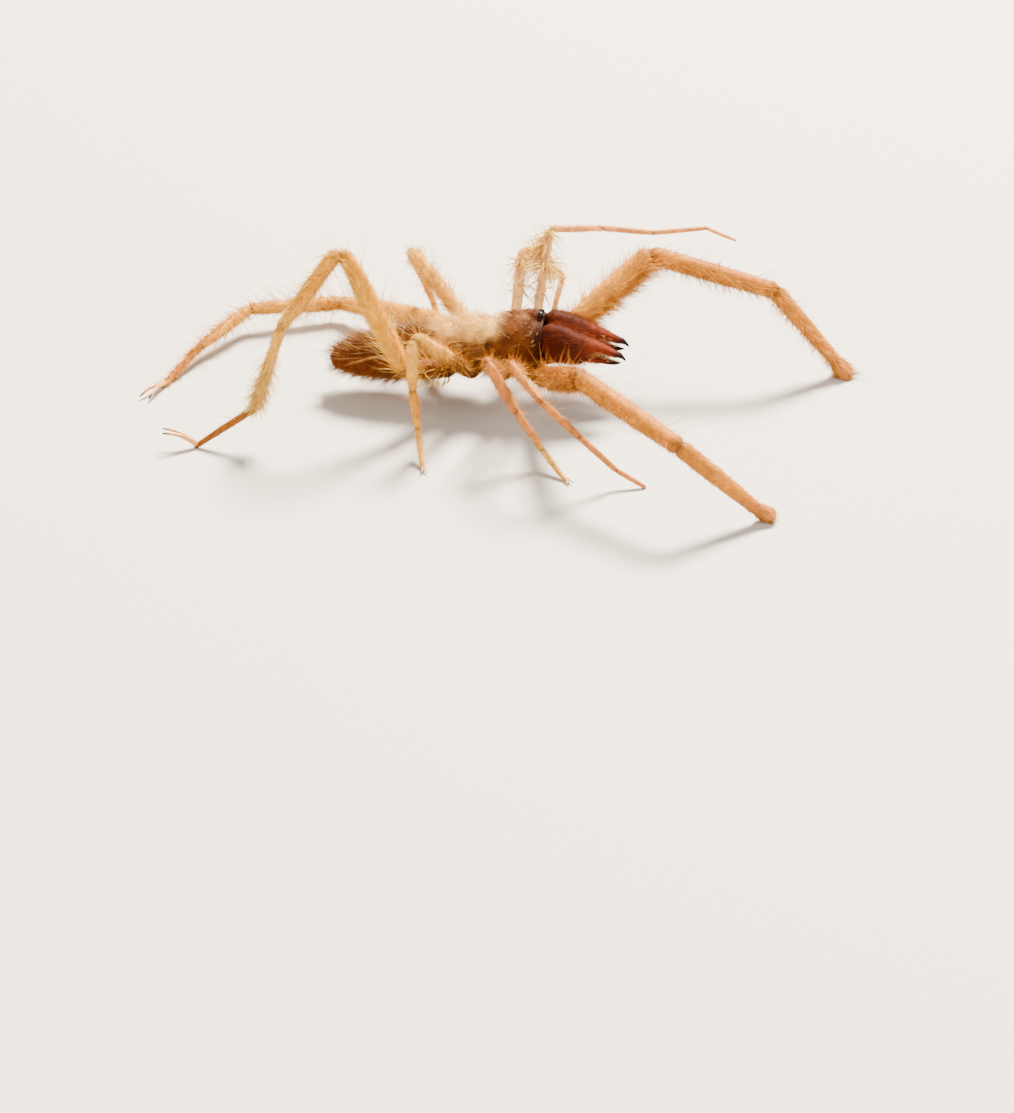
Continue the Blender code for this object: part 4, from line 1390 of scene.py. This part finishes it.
# ---- head parts ----------------------------------------------------------------------
@dataclass
class Chelicera:
    """One pincer: a bulging palm with its fixed finger, and the moving finger below."""

    side: Side
    y: float = 3.22
    palm: Stations = (
        (8.9, 2.1, 18.6, 12.9), (9.7, 2.6, 19.3, 12.1), (11.3, 2.95, 19.6, 11.5),
        (14.3, 3.05, 18.8, 11.4), (17.2, 2.8, 17.7, 11.5), (18.6, 2.25, 17.05, 13.6),
        (20.0, 1.75, 16.55, 14.15), (22.0, 1.35, 15.75, 13.75), (24.0, 1.0, 14.75, 13.15),
        (25.3, 0.72, 14.2, 13.0), (26.2, 0.25, 13.0, 12.3),
    )
    finger: Stations = (
        (17.1, 1.2, 13.4, 11.9), (18.5, 1.45, 13.75, 11.75), (21.0, 1.25, 13.3, 11.7),
        (23.0, 0.95, 12.7, 11.5), (24.2, 0.7, 12.4, 11.5), (25.25, 0.22, 12.22, 11.8),
    )
    rows: int = 110
    sides: int = 40
    skin_depth: float = 0.08

    # teeth: share of the biting edge, height in mm
    FIRST_TOOTH = {True: 19.2, False: 19.0}     # x, by whether the teeth point down
    FIXED_TEETH = ((0.05, 0.30), (0.14, 0.45), (0.23, 0.32), (0.34, 0.55), (0.44, 0.35),
                   (0.53, 0.48), (0.63, 0.28), (0.72, 0.2))
    MOVING_TEETH = ((0.16, 0.45), (0.27, 0.25), (0.37, 0.28), (0.50, 0.55))
    TOOTH_ROWS = 7
    TOOTH_SIDES = 10

    def tube(self, stations: Stations, rows: int, folds: bool) -> tuple[Array, Array]:
        """Return the rings of a palm or a finger, and the x of each.

        Args:
            stations: x, half width, top and underside.
            rows: how many rings.
            folds: whether the surface has the palm's shallow ridges.

        Returns:
            The rings' vertices, and x of each ring.
        """
        xs = np.linspace(stations[0][0], stations[-1][0], rows)
        table = smoothed(along_all(stations, xs), 4)
        turn = circle(self.sides)
        middle = (table[:, 1] + table[:, 2])[:, None] / 2
        half = (table[:, 1] - table[:, 2])[:, None] / 2 - self.skin_depth
        wide = table[:, :1] - self.skin_depth
        bulge = 1.0
        if folds:
            swell = hump(xs - 13.5, 4.5)[:, None]
            bulge = 1 + 0.012 * swell * np.cos(turn * 7) + 0.02 * swell * np.sin(turn) ** 2
        squarer = np.sign(np.cos(turn)) * np.abs(np.cos(turn)) ** 0.9
        y = self.side.value * self.y + wide * squarer * bulge
        z = middle + half * np.sin(turn) * bulge
        return np.stack((np.repeat(xs[:, None], self.sides, 1), y, z), axis=-1), xs

    def add_teeth(self, draft: Draft, stations: Stations, downward: bool) -> None:
        """Add the row of teeth on a biting edge.

        Args:
            draft: the mesh that gets them.
            stations: outline of the finger that carries them.
            downward: whether they point down.
        """
        first, last = self.FIRST_TOOTH[downward], stations[-1][0] - 0.5
        way = -1 if downward else 1
        rows, sides = self.TOOTH_ROWS, self.TOOTH_SIDES
        share, turn, zero = np.linspace(0, 1, rows), circle(sides), np.zeros((rows, sides))
        colour = blend(Tone.SHELL_DARK, Tone.TOOTH_BLACK, share)
        marking = np.broadcast_to(colour[:, None], (rows, sides, 3))
        for place, height in self.FIXED_TEETH if downward else self.MOVING_TEETH:
            x = first + (last - first) * place
            _, top, bottom = along(stations, x)
            foot = bottom + 0.2 if downward else top - 0.2
            thick = (0.16 + height * 0.5) * (1 - share) ** 0.8 + 0.02
            lean = 0.3 * height * share**2
            rings = np.stack((
                x - lean[:, None] + thick[:, None] * np.cos(turn),
                self.side.value * self.y + 0.7 * thick[:, None] * np.sin(turn),
                foot + way * (height + 0.2) * np.repeat(share[:, None], sides, 1),
            ), axis=-1)
            draft.add_rings(rings, {
                "marking": marking, "lie": np.ones((rows, sides, 3)), "down": zero,
                "silk": zero, "fringe": zero, "grow": zero,
            })

    def coat_values(self, rings: Array, xs: Array, marking: Array, biting: int) -> Fields:
        """Return the values that colour a shell and grow its bristles.

        Args:
            rings: the shell's vertices.
            xs: x of each ring.
            marking: its colours.
            biting: 1 where the biting edge is on top, -1 where it is below.

        Returns:
            One field for each attribute.
        """
        rows, sides = rings.shape[:2]
        turn = circle(sides)
        lie = np.zeros((rows, sides, 3))
        lie[..., 0] = 1
        lie[..., 2] = -0.15
        hard = ramp(xs, 19.0, 23.5)[:, None] * np.ones(sides)
        shown = ramp(xs, 9.4, 10.2)[:, None] * np.ones(sides)
        side_share = 0.6 + 0.4 * np.abs(np.cos(turn))
        return {
            "marking": marking, "lie": unit(lie),
            "down": shown * (1 - 0.9 * hard) * side_share,
            "silk": shown * (1 - hard) * (0.3 + 0.7 * np.clip(np.sin(turn), 0, 1)),
            "fringe": (hump(xs - 21.0, 2.4)[:, None] * np.clip(biting * np.sin(turn), 0, 1)
                       * np.clip(1.0 - 0.5 * self.side.value * np.cos(turn), 0, 1)),
            "grow": np.full((rows, sides), 1.0) - 0.3 * hard,
        }

    def palm_shell(self, placement: Placement) -> Object:
        """Build the palm with the fixed finger and its teeth."""
        rings, xs = self.tube(self.palm, self.rows, folds=True)
        turn = circle(self.sides)
        stripe = 0.5 + 0.5 * np.sin(turn * 5 + 0.6)
        base = blend(Tone.SHELL_RED, Tone.SHELL_DARK,
                     0.65 * stripe * hump(xs - 15, 6.0)[:, None])
        red = ramp(xs, 16.5, 19.5)[:, None] * np.ones(self.sides)
        base = blend(base, Tone.FINGER_RED, red * 0.8)
        tip = ramp(xs, 22.5, 25.5)[:, None] * np.ones(self.sides)
        marking = blend(base, Tone.TOOTH_BLACK, tip)
        draft = Draft().add_rings(rings, self.coat_values(rings, xs, marking, -1))
        self.add_teeth(draft, self.palm, downward=True)
        return draft.object(f"chelicera_{self.side.name}_shell", placement, PINCER_SHELL)

    def finger_shell(self, placement: Placement) -> Object:
        """Build the moving finger with its teeth."""
        rings, xs = self.tube(self.finger, self.rows // 2, folds=False)
        tip = ramp(xs, 20.5, 24.0)[:, None] * np.ones(self.sides)
        marking = blend(Tone.FINGER_RED, Tone.TOOTH_BLACK, tip)
        draft = Draft().add_rings(rings, self.coat_values(rings, xs, marking, 1))
        self.add_teeth(draft, self.finger, downward=False)
        return draft.object(f"cheliceral_finger_{self.side.name}_shell", placement,
                            PINCER_SHELL)

    def flagellum(self, placement: Placement) -> Object:
        """Build the small curled whip that a male bears on the fixed finger."""
        rows, sides = 24, 8
        share = np.linspace(0, 1, rows)
        inner = self.side.value * (self.y - 1.3)
        x = 21.4 - 2.2 * share + 0.4 * np.sin(pi * share)
        z = 14.8 + 0.7 * np.sin(pi * share * 0.75)
        y = inner - self.side.value * 0.3 * np.sin(pi * share)
        centre = np.stack((x, np.broadcast_to(y, x.shape), z), axis=-1)
        thick = 0.08 + 0.28 * hump(share - 0.22, 0.2) * (1 - share)
        turn = circle(sides)
        rings = centre[:, None] + np.stack((
            np.zeros((rows, sides)), 0.35 * thick[:, None] * np.cos(turn),
            thick[:, None] * np.sin(turn),
        ), axis=-1)
        marking = np.broadcast_to(Tone.ABDOMEN_PALE.linear, (rows, sides, 3))
        draft = Draft().add_rings(rings, {"marking": marking})
        return draft.object(f"flagellum_{self.side.name}", placement, SOFT_SHELL)

    def coats(self) -> dict[str, Coat]:
        """Return the kinds of bristle that grow on the palm, by name."""
        seed = 200 + self.side.value
        return {
            "bristles": Coat("down", 12.0, 1.2, 0.055, RED_BRISTLE, lean=1.1, scatter=0.4,
                             bend=0.2, tuft=0.8, seed=seed),
            "silk": Coat("silk", 0.45, 2.8, 0.08, RED_BRISTLE, lean=0.8, scatter=0.45,
                         bend=0.15, wave=0.05, pieces=4, seed=seed + 10),
            "brush": Coat("fringe", 16.0, 1.2, 0.08, PALE_BRUSH, lean=0.9, scatter=0.35,
                          bend=0.2, tuft=0.8, pieces=3, seed=seed + 20),
        }


@dataclass
class Eyes:
    """The two eyes on their tubercle."""

    radius: float = 0.62
    rows: int = 20
    sides: int = 32

    def build(self, side: Side, placement: Placement) -> Object:
        """Build one eye as a round, slightly domed lens."""
        polar = np.linspace(0.06, pi - 0.06, self.rows)
        turn = circle(self.sides)
        x, y, z = Placement.EYE_AT
        out = np.stack((
            np.repeat(-np.cos(polar)[:, None], self.sides, 1),
            np.sin(polar)[:, None] * np.cos(turn),
            np.sin(polar)[:, None] * np.sin(turn),
        ), axis=-1)
        rings = np.array((x, side.value * y, z)) + self.radius * out
        return Draft().add_rings(rings).object(f"eye_{side.name}_lens", placement, EyeFinish())


@dataclass
class Rostrum:
    """The small beak between the palps, below the pincers."""

    stations: Stations = (
        (8.4, 1.3, 11.0, 8.4), (9.6, 1.15, 10.8, 8.9), (10.8, 0.75, 10.4, 9.3),
        (11.8, 0.3, 10.0, 9.6),
    )

    def build(self, placement: Placement) -> Object:
        """Build the beak."""
        rows, sides = 28, 20
        xs = np.linspace(self.stations[0][0], self.stations[-1][0], rows)
        table = along_all(self.stations, xs)
        turn = circle(sides)
        middle = (table[:, 1] + table[:, 2])[:, None] / 2
        half = (table[:, 1] - table[:, 2])[:, None] / 2
        rings = np.stack((
            np.repeat(xs[:, None], sides, 1), table[:, :1] * np.cos(turn),
            middle + half * np.sin(turn),
        ), axis=-1)
        colour = blend(Tone.SHELL_RED, Tone.SHELL_DARK, ramp(xs, 9.5, 11.5))
        marking = np.broadcast_to(colour[:, None], (rows, sides, 3))
        draft = Draft().add_rings(rings, {"marking": marking})
        return draft.object("rostrum", placement, PINCER_SHELL)


@dataclass
class Malleoli:
    """The five pale fans that hang under each hind leg."""

    leg: Limb
    places: tuple[float, ...] = (2.4, 4.3, 6.6, 8.6, 11.2)     # mm along the leg's line
    stalk: float = 1.2
    fan: float = 1.3
    width: float = 1.6
    thickness: float = 0.22

    def build(self, placement: Placement) -> Object:
        """Build the fans of one side as one object."""
        walk = self.leg.line().walk(0.3)
        draft = Draft()
        rows, sides = 22, 16
        share = np.linspace(0, 1, rows)
        turn = circle(sides)
        for place in self.places:
            point, ahead = (np.array([np.interp(place, walk["reach"], walk[key][:, k])
                                      for k in range(3)]) for key in ("point", "ahead"))
            thick = float(np.interp(place, walk["reach"], walk["radius"]))
            level = unit(np.array((ahead[0], ahead[1], 0)))
            normal = np.cross(level, (0, 0, 1.0))
            down = unit(np.array((-0.25, 0.0, -1.0)))
            start = point + np.array((0, 0, -thick + 0.35))
            length = (self.stalk + self.fan) * share
            spread_out = ramp(length, self.stalk * 0.75, self.stalk + self.fan * 0.75)
            wide = 0.13 + spread_out * (self.width / 2 - 0.13)
            wide *= np.sqrt(np.maximum(1 - np.clip((share - 0.9) / 0.1, 0, 1) ** 2, 0.2))
            flat = 0.13 - spread_out * (0.13 - self.thickness / 2)
            rings = (
                start + down * length[:, None, None]
                + level * (wide[:, None] * np.cos(turn))[..., None]
                + normal * (flat[:, None] * np.sin(turn))[..., None]
            )
            marking = np.broadcast_to(Tone.CREAM.linear, (rows, sides, 3))
            draft.add_rings(rings, {"marking": marking})
        return draft.object(f"malleoli_{self.leg.side.name}", placement, SOFT_SHELL)


# ---- studio --------------------------------------------------------------------------
@dataclass
class Studio:
    """Pale floor, soft lights and the camera."""

    aim: tuple[float, float, float] = (10.1956, -62.1273, 0.0)
    azimuth: float = 8.0
    elevation: float = 31.0
    distance: float = 500.0
    lens: float = 86.5
    floor_size: float = 4000.0

    LIGHTS = (
        # name, azimuth, elevation, distance mm, width mm, watts, colour
        ("key", 166.0, 52.0, 1860.0, 600.0, 306.0, (1.0, 0.89, 0.70)),
        ("fill", -35.0, 42.0, 2100.0, 1800.0, 36.0, (1.0, 0.93, 0.83)),
        ("side", 75.0, 30.0, 2100.0, 1500.0, 27.0, (1.0, 0.94, 0.88)),
    )
    WORLD_COLOUR = (1.0, 0.975, 0.94, 1.0)
    WORLD_STRENGTH = 0.36

    def direction(self, azimuth: float, elevation: float) -> Vector:
        """Return the direction from the animal towards a light or the camera."""
        turn, rise = radians(azimuth), radians(elevation)
        return Vector((sin(turn) * cos(rise), -cos(turn) * cos(rise), sin(rise)))

    def aim_from(
        self, name: str, data: bpy.types.ID, way: Vector, distance: float, aim: Vector
    ) -> Object:
        """Return a light or the camera, looking at a point.

        Args:
            name: the object's name.
            data: the lamp or the camera.
            way: direction from the point towards it.
            distance: how far away it stands, in mm.
            aim: the point, in metres.

        Returns:
            The placed object.
        """
        made = new_object(name, data)
        made.location = aim + way * distance * MM
        made.rotation_euler = way.to_track_quat("Z", "Y").to_euler()
        return made

    def build(self, placement: Placement) -> None:
        """Make the floor, the lights and the camera."""
        half = self.floor_size / 2 * MM
        mesh = bpy.data.meshes.new("floor")
        corners = [(-half, -half, 0), (half, -half, 0), (half, half, 0), (-half, half, 0)]
        mesh.from_pydata(corners, [], [(0, 1, 2, 3)])
        mesh.materials.append(finish_of(FloorFinish()))
        new_object("floor", mesh)
        for name, azimuth, elevation, distance, width, watts, colour in self.LIGHTS:
            data = bpy.data.lights.new(name, "AREA")
            data.shape = "DISK"
            data.size = width * MM
            data.energy = watts
            data.color = colour
            self.aim_from(name, data, self.direction(azimuth, elevation), distance, Vector())
        world = bpy.data.worlds.new("studio")
        world.use_nodes = True
        fill(world.node_tree, world.node_tree.nodes["Background"],
             {"Color": self.WORLD_COLOUR, "Strength": self.WORLD_STRENGTH})
        bpy.context.scene.world = world
        data = bpy.data.cameras.new("camera")
        data.lens = self.lens
        data.clip_start = 10 * MM
        bpy.context.scene.camera = self.aim_from(
            "camera", data, self.direction(self.azimuth, self.elevation), self.distance,
            Vector(placement.metres(np.array(self.aim))))


# ---- assembly ------------------------------------------------------------------------
def settle(piece: Object, nodes: tuple[str, ...] = ()) -> None:
    """Put a piece on the frame's body.

    Args:
        piece: the finished object.
        nodes: the frame's nodes that it stands for.
    """
    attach(piece, "root")
    if nodes:
        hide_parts(*nodes)
    LOG.info("%s: %d faces", piece.name, len(piece.data.polygons))


def build_limb(limb: Limb, placement: Placement, grower: BristleTree) -> None:
    """Build one limb with its claws and coats."""
    skin = limb.skin(placement)
    coats = {name: grower.grow(f"{limb.name}_{name}", skin, coat)
             for name, coat in limb.coats().items()}
    settle(skin, tuple(f"{limb.name}_{piece.name}" for piece in limb.segments))
    for coat in coats.values():
        settle(coat)
    if limb.claw_length:
        settle(limb.claws(placement))


def build_trunk(placement: Placement, grower: BristleTree) -> None:
    """Build the trunk with its coats."""
    trunk = Trunk()
    skin = trunk.skin(placement)
    coats = [grower.grow(f"trunk_{name}", skin, coat) for name, coat in trunk.coats().items()]
    settle(skin, ("thorax", "head_shield", "abdomen"))
    for coat in coats:
        settle(coat)


def build_head(placement: Placement, grower: BristleTree) -> None:
    """Build the pincers, the eyes and the beak."""
    for side in Side:
        pincer = Chelicera(side)
        palm, finger = pincer.palm_shell(placement), pincer.finger_shell(placement)
        kinds = pincer.coats()
        coats = [grower.grow(f"chelicera_{side.name}_{name}", palm, coat)
                 for name, coat in kinds.items()]
        coats += [grower.grow(f"cheliceral_finger_{side.name}_{name}", finger, kinds[name])
                  for name in ("bristles", "brush")]
        settle(palm, (f"chelicera_{side.name}",))
        settle(finger, (f"cheliceral_finger_{side.name}",))
        for coat in coats:
            settle(coat)
        settle(pincer.flagellum(placement))
        settle(Eyes().build(side, placement), (f"eye_{side.name}",))
    settle(Rostrum().build(placement))


def main() -> None:
    """Build the animal and its studio on the frame."""
    logging.basicConfig(level=logging.INFO, format="%(message)s")
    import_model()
    placement = Placement.from_frame()
    grower = BristleTree()
    build_trunk(placement, grower)
    build_head(placement, grower)
    for limb in limbs():
        build_limb(limb, placement, grower)
        if limb.kind == "leg4":
            settle(Malleoli(limb).build(placement))
    Studio().build(placement)


if __name__ == "__main__":
    main()
